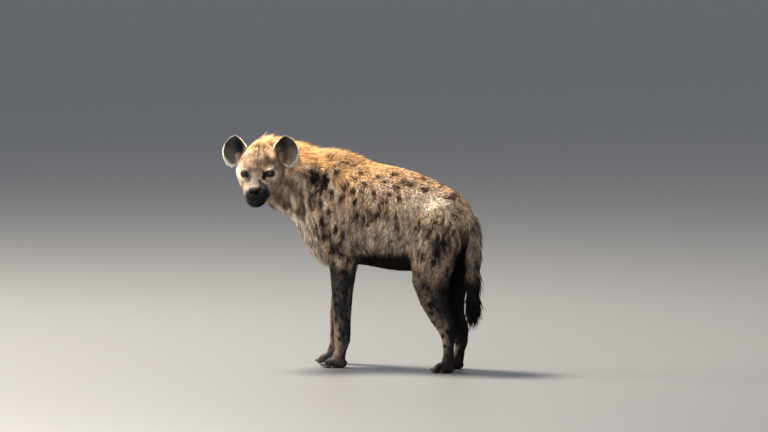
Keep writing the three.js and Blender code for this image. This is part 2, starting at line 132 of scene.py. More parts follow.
class Lattice:
    """The points of an even grid over a box, with x, y and z as arrays that spread over it."""

    def __init__(self, low, high, step, reach=REACH):
        self.step = step
        self.reach = reach
        self.first = np.floor(np.array(low) / step).astype(int)
        self.shape = tuple(int(n) for n in np.ceil(np.array(high) / step) - self.first + 1)
        ticks = [(self.first[i] + np.arange(self.shape[i], dtype=np.float32)) * step for i in range(3)]
        spread = np.meshgrid(*ticks, indexing="ij", sparse=True)
        self.x, self.y, self.z = (axis.astype(np.float32) for axis in spread)

    def corner(self):
        return tuple(int(i) for i in self.first)

    def transform(self):
        return openvdb.createLinearTransform(voxelSize=self.step)

    def distance(self, places, triangles):
        """How far each point is from a closed surface, less than 0 inside it."""
        grid = openvdb.FloatGrid.createLevelSetFromPolygons(
            np.ascontiguousarray(places, np.float32),
            triangles=np.ascontiguousarray(triangles, np.uint32),
            transform=self.transform(),
            halfWidth=self.reach / self.step,
        )
        values = np.zeros(self.shape, np.float32)
        grid.copyToArray(values, ijk=self.corner())
        return values

    def surface(self, values, level=0.0):
        """The places and outward triangles where the values pass through a level."""
        grid = openvdb.FloatGrid(self.reach)
        grid.transform = self.transform()
        grid.copyFromArray(np.ascontiguousarray(values, np.float32), ijk=self.corner())
        places, quads = grid.convertToQuads(level)
        triangles = np.concatenate([quads[:, [0, 2, 1]], quads[:, [0, 3, 2]]]).astype(np.int64)
        a, b, c = (places[triangles[:, i]].astype(float) for i in range(3))
        if np.einsum("ij,ij->", a, np.cross(b, c)) < 0:
            triangles = triangles[:, ::-1]
        return places, triangles

    def closed(self, solids):
        """The distance to the union of some solids, the cuts between them filled."""
        return self.distance(*self.surface(solids, GAP_CLOSED)) + GAP_CLOSED

    def sampled(self, values, points):
        """Values of this lattice at other places, by linear steps. points are three arrays of one shape."""
        places = [p / self.step - first for p, first in zip(points, self.first)]
        low = [np.clip(np.floor(p).astype(np.int32), 0, n - 2) for p, n in zip(places, self.shape)]
        share = [np.clip(p - i, 0, 1) for p, i in zip(places, low)]
        total = 0
        for i in (0, 1):
            for j in (0, 1):
                for k in (0, 1):
                    weight = (share[0] if i else 1 - share[0]) * (share[1] if j else 1 - share[1])
                    weight = weight * (share[2] if k else 1 - share[2])
                    total = total + weight * values[low[0] + i, low[1] + j, low[2] + k]
        return total.astype(np.float32)


def mesh_arrays(mesh):
    """A mesh's places, its triangles and the normals at its places."""
    places = np.empty(len(mesh.vertices) * 3, np.float32)
    mesh.vertices.foreach_get("co", places)
    normals = np.empty(len(mesh.vertices) * 3, np.float32)
    mesh.vertex_normals.foreach_get("vector", normals)
    mesh.calc_loop_triangles()
    triangles = np.empty(len(mesh.loop_triangles) * 3, np.int32)
    mesh.loop_triangles.foreach_get("vertices", triangles)
    return places.reshape(-1, 3), triangles.reshape(-1, 3), normals.reshape(-1, 3)


BLUR_REACH = 2.5  # in spreads, how far a blur looks


def softened(values, spread):
    """Values blurred over the lattice, spread steps wide."""
    reach = math.ceil(BLUR_REACH * spread)
    offsets = np.arange(-reach, reach + 1)
    weights = np.exp(-0.5 * (offsets / spread) ** 2)
    weights /= weights.sum()
    for axis in range(3):
        margin = [(reach, reach) if i == axis else (0, 0) for i in range(3)]
        padded = np.pad(values, margin, mode="edge")
        length = values.shape[axis]
        blurred = 0
        for offset, weight in zip(offsets, weights):
            cut = [slice(None)] * 3
            cut[axis] = slice(offset + reach, offset + reach + length)
            blurred = blurred + np.float32(weight) * padded[tuple(cut)]
        values = blurred
    return values


def node_faces(name):
    """A CAD node's places and triangles."""
    places, triangles, _ = mesh_arrays(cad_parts[name].data)
    return places, triangles


box_low, box_high = (np.array(corner) for corner in cad_box)
body = Lattice(box_low - BODY_MARGIN, box_high + BODY_MARGIN, BODY_STEP)
apart = {name: body.distance(*node_faces(name)) for name in FLESH}
whole = body.closed(np.minimum.reduce(list(apart.values())))

midline = np.exp(-(((body.x - MIDDLE) / MANE_HALF) ** 2))
mane = ease(body.z, WITHERS - MANE_DOWN, WITHERS) * ease(SHOULDER_Y + MANE_BACK - body.y, 0, MANE_FADE)
depth = 0
total = 0
for name, far in apart.items():
    here = np.exp(-np.maximum(far, 0) / NEARBY)
    thick = COAT_DEPTH[part_of(name, COAT_DEPTH)]
    extra = MANE_DEPTH * mane * (1 if name == "neck" else midline) if name in ("neck", "trunk") else 0
    depth = depth + here * (thick + extra)
    total = total + here
flesh = whole + depth / total
is_upper = ease(body.z, *LEAN_BELOW)
flesh = flesh * (1 - is_upper) + softened(flesh, BODY_SOFT) * is_upper
flesh = softened(flesh, LEG_SOFT)


# THE HEAD
# The form of the head is carved finer than the rest, in its own frame: x runs from between the eyes to
# the nose, y to its left ear and z up. It has brows, eyelids, whisker pads, lips, nostrils and cupped ears.
HEAD_STEP = 1.8 * MM
HEAD_TURN = math.radians(23)  # from plus X, so that the face looks left and back
HEAD_BOW = math.radians(19)  # the muzzle points this far down
EYE_MM = (10, 48, 3)
EYE_AT = np.array(EYE_MM) * MM
EYE_RADIUS = (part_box("left_eye")[1].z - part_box("left_eye")[0].z) / 2
ahead = np.array([
    math.cos(HEAD_TURN) * math.cos(HEAD_BOW),
    math.sin(HEAD_TURN) * math.cos(HEAD_BOW),
    -math.sin(HEAD_BOW),
])
leftwards = np.array([-math.sin(HEAD_TURN), math.cos(HEAD_TURN), 0])
upwards = np.cross(ahead, leftwards)
HEAD_AXES = np.array([ahead, leftwards, upwards])  # rows: from the row frame into the head's
eye_middles = [np.array((low + high) / 2) for low, high in (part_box("left_eye"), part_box("right_eye"))]
HEAD_AT = sum(eye_middles) / 2 - ahead * EYE_AT[0] - upwards * EYE_AT[2]


def into_head(places):
    return (places - HEAD_AT) @ HEAD_AXES.T


def out_of_head(places):
    return places @ HEAD_AXES + HEAD_AT


def row_points(lattice):
    """Where a lattice in the head's frame lies in the row frame."""
    return [
        lattice.x * HEAD_AXES[0, i] + lattice.y * HEAD_AXES[1, i] + lattice.z * HEAD_AXES[2, i] + HEAD_AT[i]
        for i in range(3)
    ]


def ball(grid, centre, halves, turn=0.0):
    """About the distance to a rounded lump, turned about its upright axis."""
    x, y, z = grid.x - centre[0], grid.y - centre[1], grid.z - centre[2]
    if turn:
        x, y = x * math.cos(turn) + y * math.sin(turn), y * math.cos(turn) - x * math.sin(turn)
    share = np.sqrt((x / halves[0]) ** 2 + (y / halves[1]) ** 2 + (z / halves[2]) ** 2)
    return (share - 1) * min(halves)


def bar(grid, start, end, from_radius, to_radius):
    """The distance to a round bar that tapers between its ends."""
    start, end = np.array(start, float), np.array(end, float)
    along = end - start
    x, y, z = grid.x - start[0], grid.y - start[1], grid.z - start[2]
    share = np.clip((x * along[0] + y * along[1] + z * along[2]) / along.dot(along), 0, 1)
    across = np.sqrt((x - share * along[0]) ** 2 + (y - share * along[1]) ** 2 + (z - share * along[2]) ** 2)
    return across - (from_radius + (to_radius - from_radius) * share)


def modelled(form, lumps):
    """The face with lumps joined to it or carved from it. One that is off the midline is on both sides."""
    for change, (x, y, z), halves, turn, fillet in lumps:
        for hand in (1, -1) if y else (1,):
            lump = ball(skull, np.array([x, y * hand, z]) * MM, [half * MM for half in halves], turn * hand)
            form = change(form, lump, fillet * MM)
    return form


HEAD_LOW = np.array([-152, -162, -128]) * MM
HEAD_HIGH = np.array([136, 162, 132]) * MM
HEAD_REACH = 34 * MM
FACE_SOFT = 1.6
skull = Lattice(HEAD_LOW, HEAD_HIGH, HEAD_STEP, HEAD_REACH)
in_head = {
    name: skull.distance(into_head(places), triangles)
    for name in ("head", "lower_jaw", "neck", "left_ear", "right_ear")
    for places, triangles in [node_faces(name)]
}
face = skull.closed(np.minimum(in_head["head"], in_head["lower_jaw"])) + COAT_DEPTH["head"]
face = softened(face, FACE_SOFT)

# Lumps and hollows: where their middle is, half their length, width and height, their turn and their fillet.
UPPER_FACE = [
    (joined, (-5, 44, 20), (15, 16, 9), -0.4, 18),  # brow
    (carved, (36, 34, -2), (15, 9, 11), -0.5, 14),  # hollow in front of the eye
    (joined, (-20, 65, -14), (34, 12, 12), -0.25, 16),  # cheekbone
    (joined, (-50, 55, -42), (36, 17, 30), 0, 24),  # muscle of the jaw
]
MUZZLE = [
    (joined, (86, 25, -42), (27, 18, 19), -0.2, 12),  # whisker pad
    (joined, (96, 0, -76), (17, 22, 12), 0, 10),  # chin
    (joined, (99, 0, -20), (22, 18, 11), 0, 8),  # bridge behind the nose
    (joined, (101, 0, -44), (20, 23, 14), 0, 8),  # upper lip
]
CROWN_FURROW = np.array([(30, 0, 40), (-60, 0, 90)]) * MM  # its ends, then its radius at each
CROWN_RADII = (4 * MM, 5 * MM)
CROWN_FILLET = 14 * MM
face = modelled(face, UPPER_FACE)
face = carved(face, bar(skull, *CROWN_FURROW, *CROWN_RADII), CROWN_FILLET)
face = modelled(face, MUZZLE)

# The lips: a line that sags between the front and the corner, with a slit along it and the lower lip set
# back, and the furrow from it up to the nose.
MOUTH_FRONT, MOUTH_CORNER = 106 * MM, 14 * MM
MOUTH_UP = -63 * MM
MOUTH_SAG = 10 * MM
MOUTH_WAVE = 0.8  # of half a wave
MOUTH_DROP = 4 * MM  # from front to corner
LOWER_LIP = (-2 * MM, 3 * MM)  # where it begins below the line
LIP_BACK = (0, 30 * MM)  # and where it fades out behind
LIP_SET_BACK = 2.6 * MM
SLIT_HALF = 1.4 * MM
SLIT_DEEP = 5 * MM
SLIT_SPARE = 4 * MM
LIP_FILLET = 3 * MM
LIP_FURROW = np.array([(128, 0, -42), (113, 0, -64)]) * MM
LIP_FURROW_RADII = (2 * MM, 2 * MM)
LIP_FURROW_FILLET = 4 * MM
mouth_share = np.clip((MOUTH_FRONT - skull.x) / (MOUTH_FRONT - MOUTH_CORNER), 0, 1)
mouth_line = MOUTH_UP - MOUTH_SAG * np.sin(mouth_share * math.pi * MOUTH_WAVE) - MOUTH_DROP * mouth_share
below_mouth = ease(mouth_line - skull.z, *LOWER_LIP) * ease(skull.x, *LIP_BACK)
face = face + LIP_SET_BACK * below_mouth
slit = np.maximum(np.abs(skull.z - mouth_line) - SLIT_HALF, -(face + SLIT_DEEP))
slit = np.maximum(slit, MOUTH_CORNER - SLIT_SPARE - skull.x)
face = carved(face, slit, LIP_FILLET)
face = carved(face, bar(skull, *LIP_FURROW, *LIP_FURROW_RADII), LIP_FURROW_FILLET)

# Eyelids: a rim that wraps each eyeball, with an almond opening, a fold above and a soft bag below.
GAZE_OUT = math.radians(38)  # each eye looks this far out from straight ahead
GAZE_UP = math.radians(6)
CORNER_RISE = 0.12  # levels the corners of an eye in a head that is bowed
SOCKET = 14.5 * MM  # the hollow that an eye lies in
SOCKET_OUT = 13 * MM
SOCKET_FLAT = 1.15  # its width for its height
SOCKET_FILLET = 14 * MM
LID = 3 * MM
LID_FILLET = 11 * MM
FOLD_RADIUS = 18 * MM
FOLD_DOWN = 3 * MM  # the middle of its arc under that of the eye
FOLD_HALF = 0.7 * MM
FOLD_DEEP = 1.2 * MM
FOLD_ABOVE = 5 * MM
FOLD_FILLET = 3 * MM
OPENING_WIDE = 12.8 * MM
OPENING_HIGH = 8.8 * MM
OPENING_FILLET = 2 * MM


def eye_axes(hand):
    """The way an eye looks, the way from its outer to its inner corner, and its upright."""
    gaze = np.array([
        math.cos(GAZE_OUT) * math.cos(GAZE_UP),
        hand * math.sin(GAZE_OUT) * math.cos(GAZE_UP),
        math.sin(GAZE_UP),
    ])
    inward = np.array([math.sin(GAZE_OUT), -hand * math.cos(GAZE_OUT), CORNER_RISE])
    inward -= gaze * inward.dot(gaze)
    inward /= np.linalg.norm(inward)
    return gaze, inward, np.cross(inward, gaze) * hand


def eye_parts(grid, hand):
    """A lattice's places seen from an eye: along its gaze, towards the nose, up, and from its middle."""
    centre = EYE_AT * [1, hand, 1]
    x, y, z = grid.x - centre[0], grid.y - centre[1], grid.z - centre[2]
    seen = [x * way[0] + y * way[1] + z * way[2] for way in eye_axes(hand)]
    return *seen, np.sqrt(x * x + y * y + z * z)


for hand in (1, -1):
    out, inward, up, away = eye_parts(skull, hand)
    socket = np.sqrt(inward**2 + (up * SOCKET_FLAT) ** 2 + (out - SOCKET_OUT) ** 2) - SOCKET
    face = carved(face, socket, SOCKET_FILLET)
    lids = np.maximum(away - (EYE_RADIUS + LID), -out)
    face = joined(face, lids, LID_FILLET)
    crease = np.sqrt(inward**2 + (up + FOLD_DOWN) ** 2) - FOLD_RADIUS
    fold = np.maximum(np.abs(crease) - FOLD_HALF, -(face + FOLD_DEEP))
    fold = np.maximum(fold, -up + FOLD_ABOVE)
    face = carved(face, fold, FOLD_FILLET)
    arc = (OPENING_WIDE**2 + OPENING_HIGH**2) / (2 * OPENING_HIGH)
    shift = arc - OPENING_HIGH
    opening = np.maximum(np.hypot(inward, up + shift), np.hypot(inward, up - shift)) - arc
    opening = np.maximum(opening, -out)
    face = carved(face, opening, OPENING_FILLET)

# Seat of the nose pad, then the neck behind, and the ears on top.
NOSE_AT = np.array([113, 0, -27]) * MM
SEAT_AHEAD = np.array([3, 0, 0]) * MM
SEAT_HALVES = [13 * MM, 20 * MM, 14 * MM]
SEAT_FILLET = 3 * MM
NECK_BLEND = (2 * MM, 24 * MM)
EAR_SPARE = 2.3 * MM  # makes good what the softening takes off a thin rim
EAR_SOFT = 1.0
EAR_FILLET = 7 * MM
EAR_ROOT = np.array([(-86, 72, 12), (-82, 82, 36)]) * MM
EAR_ROOT_RADII = (15 * MM, 12 * MM)
EAR_ROOT_FILLET = 14 * MM
face = carved(face, ball(skull, NOSE_AT + SEAT_AHEAD, SEAT_HALVES), SEAT_FILLET)
from_body = body.sampled(flesh, row_points(skull))
neck_near = 1 - ease(in_head["neck"], *NECK_BLEND)
face = face * (1 - neck_near) + from_body * neck_near
for hand, side in ((1, "left"), (-1, "right")):
    ear = softened(in_head[f"{side}_ear"] - EAR_SPARE, EAR_SOFT)
    face = joined(face, ear, EAR_FILLET)
    root = bar(skull, *(EAR_ROOT * [1, hand, 1]), *EAR_ROOT_RADII)
    face = joined(face, root, EAR_ROOT_FILLET)


# THE FEET
# Each foot is carved on a fine grid too: four blunt toes with furrows between them, leathery pads that
# rest flat on the floor, and on the forefeet a small bare pad behind the wrist.
PAW_STEP = 3 * MM
PAW_TOP = 108 * MM
PAW_BLEND = (70 * MM, 92 * MM)  # heights over which the foot becomes the leg
PAW_REACH = 30 * MM
PAW_MARGIN = np.array([12, 13, 0]) * MM
PAW_UNDER = 12 * MM
PAW_SOFT = 0.8
PAW_TURN = {"left_fore": 0.05, "right_fore": -0.05, "left_hind": 0.08, "right_hind": -0.08}
PAW_SCALE = {"left_fore": 1.08, "right_fore": 1.08, "left_hind": 0.97, "right_hind": 0.97}
TOES = ((-29, 26, -0.2), (-11, 42, -0.06), (11, 42, 0.06), (29, 26, 0.2))  # out, reach and splay, in mm
CLAW_AHEAD = 11  # of a middle toe, in mm
TOE_IN = 0.97
TOE_BACK = 3
TOE_UP = 7
TOE_HALVES = [9 * MM, 12 * MM, 8.5 * MM]
TOE_FILLET = 4 * MM
BALL_AT = (0, 8, 9)
BALL_HALVES = [26 * MM, 19 * MM, 11 * MM]
BALL_FILLET = 5 * MM
CUT_FROM = (0.8, 2, 42)  # a furrow's start: its share of the way out, how far ahead and up in mm
CUT_TO = (1.15, 12, 12)  # and its end, ahead of the toes
CUT_RADII = (1.2 * MM, 3 * MM)
CUT_FILLET = 5 * MM
WRIST_PAD_AT = (0, 38, 98)
WRIST_PAD_HALVES = [8 * MM, 7 * MM, 8 * MM]
WRIST_PAD_FILLET = 5 * MM
CLAWS = (1, 2, 3, 4)


def paw_place(leg, out, back, up):
    """A place in a foot's own frame, whose origin is under the ball of the foot, as a place in the row."""
    turn, scale = PAW_TURN[leg], PAW_SCALE[leg]
    boxes = [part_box(f"{leg}_claw_{i}") for i in CLAWS]
    tips = [(low + high) / 2 for low, high in boxes]
    middle = (tips[1] + tips[2]) / 2
    reach = TOES[1][1] + CLAW_AHEAD
    origin_x = middle.x - math.sin(turn) * reach * scale * MM
    origin_y = middle.y + math.cos(turn) * reach * scale * MM
    x, y = out * scale * MM, back * scale * MM
    return [
        origin_x + x * math.cos(turn) - y * math.sin(turn),
        origin_y + x * math.sin(turn) + y * math.cos(turn),
        up * MM,
    ]


paws = {}
for leg, parts in LEGS.items():
    low, high = (np.array(corner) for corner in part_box(f"{leg}_paw"))
    grid_low, grid_high = low - PAW_MARGIN, high + PAW_MARGIN
    grid_low[2], grid_high[2] = -PAW_UNDER, PAW_TOP
    grid = Lattice(grid_low, grid_high, PAW_STEP, PAW_REACH)
    near = [grid.distance(*node_faces(f"{leg}_{part}")) for part in parts[1:]]
    foot = grid.closed(np.minimum(*near)) + COAT_DEPTH["paw"]
    foot = softened(foot, PAW_SOFT)
    for out, reach, splay in TOES:
        tip = out + reach * splay
        toe = ball(grid, paw_place(leg, tip * TOE_IN, -reach + TOE_BACK, TOE_UP), TOE_HALVES)
        foot = joined(foot, toe, TOE_FILLET)
    foot = joined(foot, ball(grid, paw_place(leg, *BALL_AT), BALL_HALVES), BALL_FILLET)
    for one, next_one in zip(TOES, TOES[1:]):
        out = (one[0] + next_one[0]) / 2
        far = max(one[1], next_one[1]) + CUT_TO[1]
        start = paw_place(leg, out * CUT_FROM[0], -CUT_FROM[1], CUT_FROM[2])
        end = paw_place(leg, out * CUT_TO[0], -far, CUT_TO[2])
        foot = carved(foot, bar(grid, start, end, *CUT_RADII), CUT_FILLET)
    from_leg = body.sampled(flesh, np.broadcast_arrays(grid.x, grid.y, grid.z))
    is_leg = ease(grid.z, *PAW_BLEND)
    foot = foot * (1 - is_leg) + from_leg * is_leg
    if "fore" in leg:
        foot = joined(foot, ball(grid, paw_place(leg, *WRIST_PAD_AT), WRIST_PAD_HALVES), WRIST_PAD_FILLET)
    paws[leg] = (grid, np.maximum(foot, -grid.z))


# ONE SKIN
# The cast parts meet in slanting laps and are joined into one closed skin, with no seam. The laps lie
# under the mane and above the ankles.
LAP_SLOPE = 0.35
LAP_AT = 10 * MM  # from the edge of the finer part to where the surfaces cross
WALL_AT = 4 * MM
DEEP = 34 * MM
SKIN_TRIANGLES = 186_000


def placed(name, mesh):
    """A mesh as an object in the scene, shaded smooth."""
    mesh.polygons.foreach_set("use_smooth", np.ones(len(mesh.polygons), bool))
    made = bpy.data.objects.new(name, mesh)
    bpy.context.scene.collection.objects.link(made)
    return made


def new_mesh(name, places, triangles):
    """A mesh object of triangles."""
    mesh = bpy.data.meshes.new(name)
    mesh.vertices.add(len(places))
    mesh.vertices.foreach_set("co", np.ascontiguousarray(places, np.float32).ravel())
    mesh.loops.add(len(triangles) * 3)
    mesh.loops.foreach_set("vertex_index", np.ascontiguousarray(triangles, np.int32).ravel())
    mesh.polygons.add(len(triangles))
    mesh.polygons.foreach_set("loop_start", np.arange(0, len(triangles) * 3, 3, dtype=np.int32))
    mesh.update(calc_edges=True)
    mesh.validate()
    return placed(name, mesh)


def settled(made):
    """Turns an object with modifiers into the plain mesh that they make of it."""
    evaluated = made.evaluated_get(bpy.context.evaluated_depsgraph_get())
    result = bpy.data.meshes.new_from_object(evaluated)
    made.modifiers.clear()
    made.data = result


def lap(values, inside, finer):
    """Slopes a field under its neighbour past the lap, and closes it off there."""
    if finer:
        return np.maximum(values + LAP_SLOPE * np.maximum(LAP_AT - inside, 0), WALL_AT - inside)
    return np.maximum(values + LAP_SLOPE * np.maximum(inside - LAP_AT, 0), inside - DEEP)


def within_head(x, y, z):
    """How far places in the head's frame are inside the head's box, on the sides where the neck leaves it."""
    behind_below = np.minimum(x - HEAD_LOW[0], z - HEAD_LOW[2])
    return np.minimum(behind_below, np.minimum(y - HEAD_LOW[1], HEAD_HIGH[1] - y))


seen = [body.x - HEAD_AT[0], body.y - HEAD_AT[1], body.z - HEAD_AT[2]]
hx, hy, hz = (seen[0] * way[0] + seen[1] * way[1] + seen[2] * way[2] for way in HEAD_AXES)
in_front = np.minimum(HEAD_HIGH[0] - hx, HEAD_HIGH[2] - hz)
rest = lap(flesh, np.minimum(within_head(hx, hy, hz), in_front), False)
for grid, _ in paws.values():
    sides = [body.x - grid.x.min(), grid.x.max() - body.x, body.y - grid.y.min(), grid.y.max() - body.y]
    rest = lap(rest, np.minimum(np.minimum.reduce(np.broadcast_arrays(*sides)), PAW_TOP - body.z), False)

head_field = lap(face, within_head(skull.x, skull.y, skull.z), True)
places, triangles = skull.surface(head_field)
shells = [new_mesh("skin_head", out_of_head(places), triangles)]
for leg, (grid, foot) in paws.items():
    shells.append(new_mesh(f"skin_{leg}", *grid.surface(lap(foot, PAW_TOP - grid.z, True))))
skin = new_mesh("skin", *body.surface(rest))
for shell in shells:
    join = skin.modifiers.new("join", "BOOLEAN")
    join.operation = "UNION"
    join.solver = "MANIFOLD"
    join.object = shell
settled(skin)
for shell in shells:
    bpy.data.objects.remove(shell)
thin = skin.modifiers.new("thin", "DECIMATE")
thin.ratio = SKIN_TRIANGLES / len(skin.data.polygons)
settled(skin)
skin.data.polygons.foreach_set("use_smooth", np.ones(len(skin.data.polygons), bool))
skin.data.polygons.foreach_set("material_index", np.zeros(len(skin.data.polygons), np.int32))
skin.data.materials.clear()
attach(skin, "root")
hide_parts(*FLESH, "left_ear", "right_ear")


# THE MARKINGS
# Dark spots on a ground that goes from golden on the mane to grey on the flanks and near black on the
# belly and the legs, with painted light and shade in it: the gold reaches down as far as the light falls,
# painted highlights lie on the rump, flank, shoulder, shins, throat and chest, and painted shade on the
# lower flank, the neck, the insides and backs of the legs and one side of the muzzle. Each mark is a
# number from 0 to 1 at a place, the same for the skin and its hair.
AZIMUTH = math.radians(120)
ELEVATION = math.radians(3.7)
PHOTO_SCALE = 266.7  # pixels of the photograph for each metre at the animal
PHOTO_WIDE, PHOTO_HIGH = 768, 432
ORIGIN = np.array([MIDDLE, SHOULDER_Y + 262 * MM, 0])  # a place on the floor under the shoulders
ORIGIN_ACROSS, ORIGIN_DOWN = 392, 368  # and its pixel
back = Vector((
    math.sin(AZIMUTH) * math.cos(ELEVATION),
    -math.cos(AZIMUTH) * math.cos(ELEVATION),
    math.sin(ELEVATION),
))
right = Vector((math.cos(AZIMUTH), math.sin(AZIMUTH), 0))
up = back.cross(right)

# Marks on the left side: the pixel of the middle, half the width and half the height, in pixels.
BLACK_SPOTS = [
    (315.5, 180, 6.0, 9.5), (325, 182, 3.6, 9), (311.5, 172, 2.4, 4.5), (321.5, 190, 2.4, 4.5),
    (316, 194, 1.8, 3), (311, 197, 2, 3), (394.5, 174.6, 4.4, 2), (383.8, 192, 2.8, 2.4),
    (384.6, 182, 1.4, 2.4), (355, 203.3, 2.2, 4.6), (362.8, 203.3, 2, 3.6), (355.8, 217, 2.2, 5),
    (363.3, 220, 2, 4.4), (377, 217.5, 2.8, 4.4), (369.6, 214.6, 2, 2.8), (385.4, 215, 2.2, 2.8),
    (396.2, 218, 1.9, 4.4), (322, 223.3, 2.2, 4.6), (315.8, 228.3, 1.4, 4), (335.8, 230, 2.4, 4.6),
    (330, 235.8, 1.6, 3.6), (323.7, 238.3, 1.8, 4.2), (318.7, 242.5, 1.8, 2.8), (339, 245.4, 2.8, 3.2),
    (334.2, 251.7, 4.2, 2.6), (340.8, 255.8, 4.2, 2.6), (330, 254, 1.8, 2), (333.7, 264.2, 2.2, 2),
    (328.7, 264, 1.8, 2), (437.2, 240.5, 2.2, 5), (442.8, 243, 2.6, 5.6), (437, 254, 3.6, 4.4),
    (442, 251.8, 2.2, 3), (434, 262, 3.2, 4.8), (422, 256.6, 4.2, 2.2), (418, 252.6, 1.8, 2.8),
    (473.2, 232.6, 2.6, 4), (457, 195, 2.4, 2.2), (335, 305, 2, 3), (432, 306, 2.6, 3),
    (438, 310, 2.6, 2.4), (423.5, 286, 3, 3), (431, 312, 2, 2), (343, 273, 4, 3), (346.5, 293, 2.4, 6),
    (342, 316, 2, 5), (447, 331, 2, 3), (340, 330, 2, 4),
]
BROWN_SPOTS = [
    (332, 155, 3.4, 2.9), (336, 172, 2.7, 2.9), (358, 165, 3.7, 1.7), (362.5, 173, 3.2, 2.9),
    (354.6, 179, 2.9, 2.1), (364.6, 183.3, 2.7, 2.7), (348.3, 184.5, 2.1, 3.4), (344.2, 188.3, 2.1, 4.4),
    (353, 193.3, 2.1, 3.9), (331.8, 193.8, 2.1, 4.6), (361.7, 191.7, 1.7, 3.4), (341.7, 199.2, 3.2, 3.4),
    (373.8, 195.4, 2.4, 4.6), (379.2, 177, 2.2, 2.3), (389.2, 195.8, 2.6, 3.4), (396.5, 188, 2.1, 3.4),
    (398.6, 199, 2.6, 3.4), (404.4, 182.5, 2.9, 4.1), (411.8, 184.7, 2.9, 3.4), (425.2, 178.8, 4.1, 1.7),
    (425.6, 190.2, 3.9, 2.2), (384.6, 204.2, 3.7, 3.2), (379.4, 207.5, 2.2, 2.2), (397, 228.8, 2.2, 4.4),
    (329, 213.3, 2.9, 3.4), (320.8, 205.4, 2, 4.4), (342.5, 236.7, 2.9, 4.4), (349, 260.8, 2.2, 3.4),
    (418.8, 223.8, 1.7, 4.6), (433.6, 223, 3.4, 2.2), (415.6, 230.2, 3.9, 3.4), (433, 247, 1.8, 5.6),
    (452.4, 233.8, 2.2, 3.4), (454.8, 217, 3.2, 2.3), (460.4, 212.2, 2.2, 2.3), (309, 205, 1.7, 6.1),
    (444.8, 186.9, 3.4, 1.5), (345.4, 162, 5.6, 1.6), (450, 198.6, 7.3, 1.5), (477.5, 219, 2.2, 8.5),
]
# Painted shade: soft darker patches where shade falls on the coat, over its own darker hair.
SHADED = [
    (318, 178, 10, 15), (314, 201, 7, 10), (322, 232, 9, 12), (336, 272, 7, 9), (337, 251, 9, 9),
    (351, 222, 3, 9), (357, 238, 3.6, 13), (362, 216, 10, 7), (379, 217, 14, 7), (427, 229, 8, 5),
    (437, 248, 9, 15), (424, 287, 6, 6), (345, 285, 5, 16), (457, 196, 7, 4), (434, 307, 7, 7),
]
# Painted sunlight down the front of the near foreleg.
SHIN_SUNLIGHT = [(335, 342, 5.5, 18)]
# Marks on the face, whose two sides both show: with how strong each is, and its turn in degrees.
# Black eye rims, lips and chin, and painted shade on the shaded side of the muzzle.
FACE_BLACK_AND_SHADE = [
    (244.4, 174.3, 3.7, 2.7, 0.95, 5), (268.6, 174.1, 5.6, 3.0, 0.95, -5),
    (264.2, 176.4, 2.6, 2.4, 0.9, -40), (247.2, 176.0, 1.6, 1.8, 0.7, 40),
    (260.6, 183, 1.8, 3.4, 0.8, -15), (263.3, 187.5, 4.4, 4.8, 0.85, -20), (266, 193, 3.8, 5.6, 0.9, -5),
    (257.4, 201.8, 10.4, 6.6, 1.0, 0), (254.6, 195.2, 9.2, 6.2, 0.95, 0),
    (268.6, 198.4, 5, 2.6, 0.95, 50),
]
FACE_GREY = [
    (258, 177, 3.6, 8, 0.7, 0), (243.4, 185, 1, 4, 0.4, 10), (242.2, 182.3, 1.2, 1.1, 0.6, 0),
    (268.6, 180, 5, 2.4, 0.3, 0), (247.5, 190, 2.2, 5, 0.6, 0), (254, 184, 9, 10, 0.78, 0),
    (262, 150, 5, 1.6, 0.3, 0), (254, 151, 1.4, 3, 0.35, 0), (260, 152, 1, 4, 0.3, 0),
    (264, 156, 0.8, 4, 0.2, 0), (250, 157, 0.8, 4, 0.2, 0),
]
# Pale brows and cheeks, and painted sunlight on the lit edge of the face and in streaks down the muzzle.
FACE_PALE_AND_SUNLIT = [
    (243.6, 169.7, 3.4, 1.3, 0.8, 0), (269.8, 169.2, 5.4, 1.4, 0.8, -4),
    (243.2, 179.3, 3.2, 1.0, 0.55, 0), (251.8, 181, 0.9, 3.8, 0.45, 10),
    (254, 185.5, 0.9, 2.4, 0.35, -10), (250.6, 188, 1, 2.4, 0.4, 20), (259.4, 187.3, 1.8, 0.9, 0.6, 0),
    (236, 166, 3.4, 8, 0.75, 0), (239.6, 182, 1.8, 7, 0.7, 8), (285.4, 169, 1.1, 5.6, 0.75, -4),
    (283, 179.5, 1.2, 5, 0.75, -25), (272.6, 194.4, 0.9, 2.6, 0.75, -35), (273, 185, 4.4, 8, 0.4, 0),
    (276, 160, 6, 7, 0.2, 0),
]
# Partly painted sunlight: the gold is the coat's own, but it reaches down only as far as the light falls on
# the top of the body.
GOLD_ACROSS = (290, 318, 330, 345, 360, 385, 410, 440, 462)  # and how far down the gold reaches
GOLD_DOWN = (172, 164, 190, 189, 181, 174, 177, 189, 204)
NECK_Y = np.array([-508, -488, -452, -405, -352, -306]) * MM  # the middle of the bent neck
NECK_X = np.array([126, 84, 46, 18, 3, 0]) * MM
EAR_AROUND = (-3.14, -2.16, -1.36, -0.70, 0.18, 1.10, 1.60, 2.14, 2.89, 3.14)  # angles about its middle
EAR_FAR = (44, 36, 58, 50, 46, 53, 61, 50, 47, 44)  # and how far out its rim is there, in mm
EAR_MIDDLE = (96, 55)  # out and up, in mm

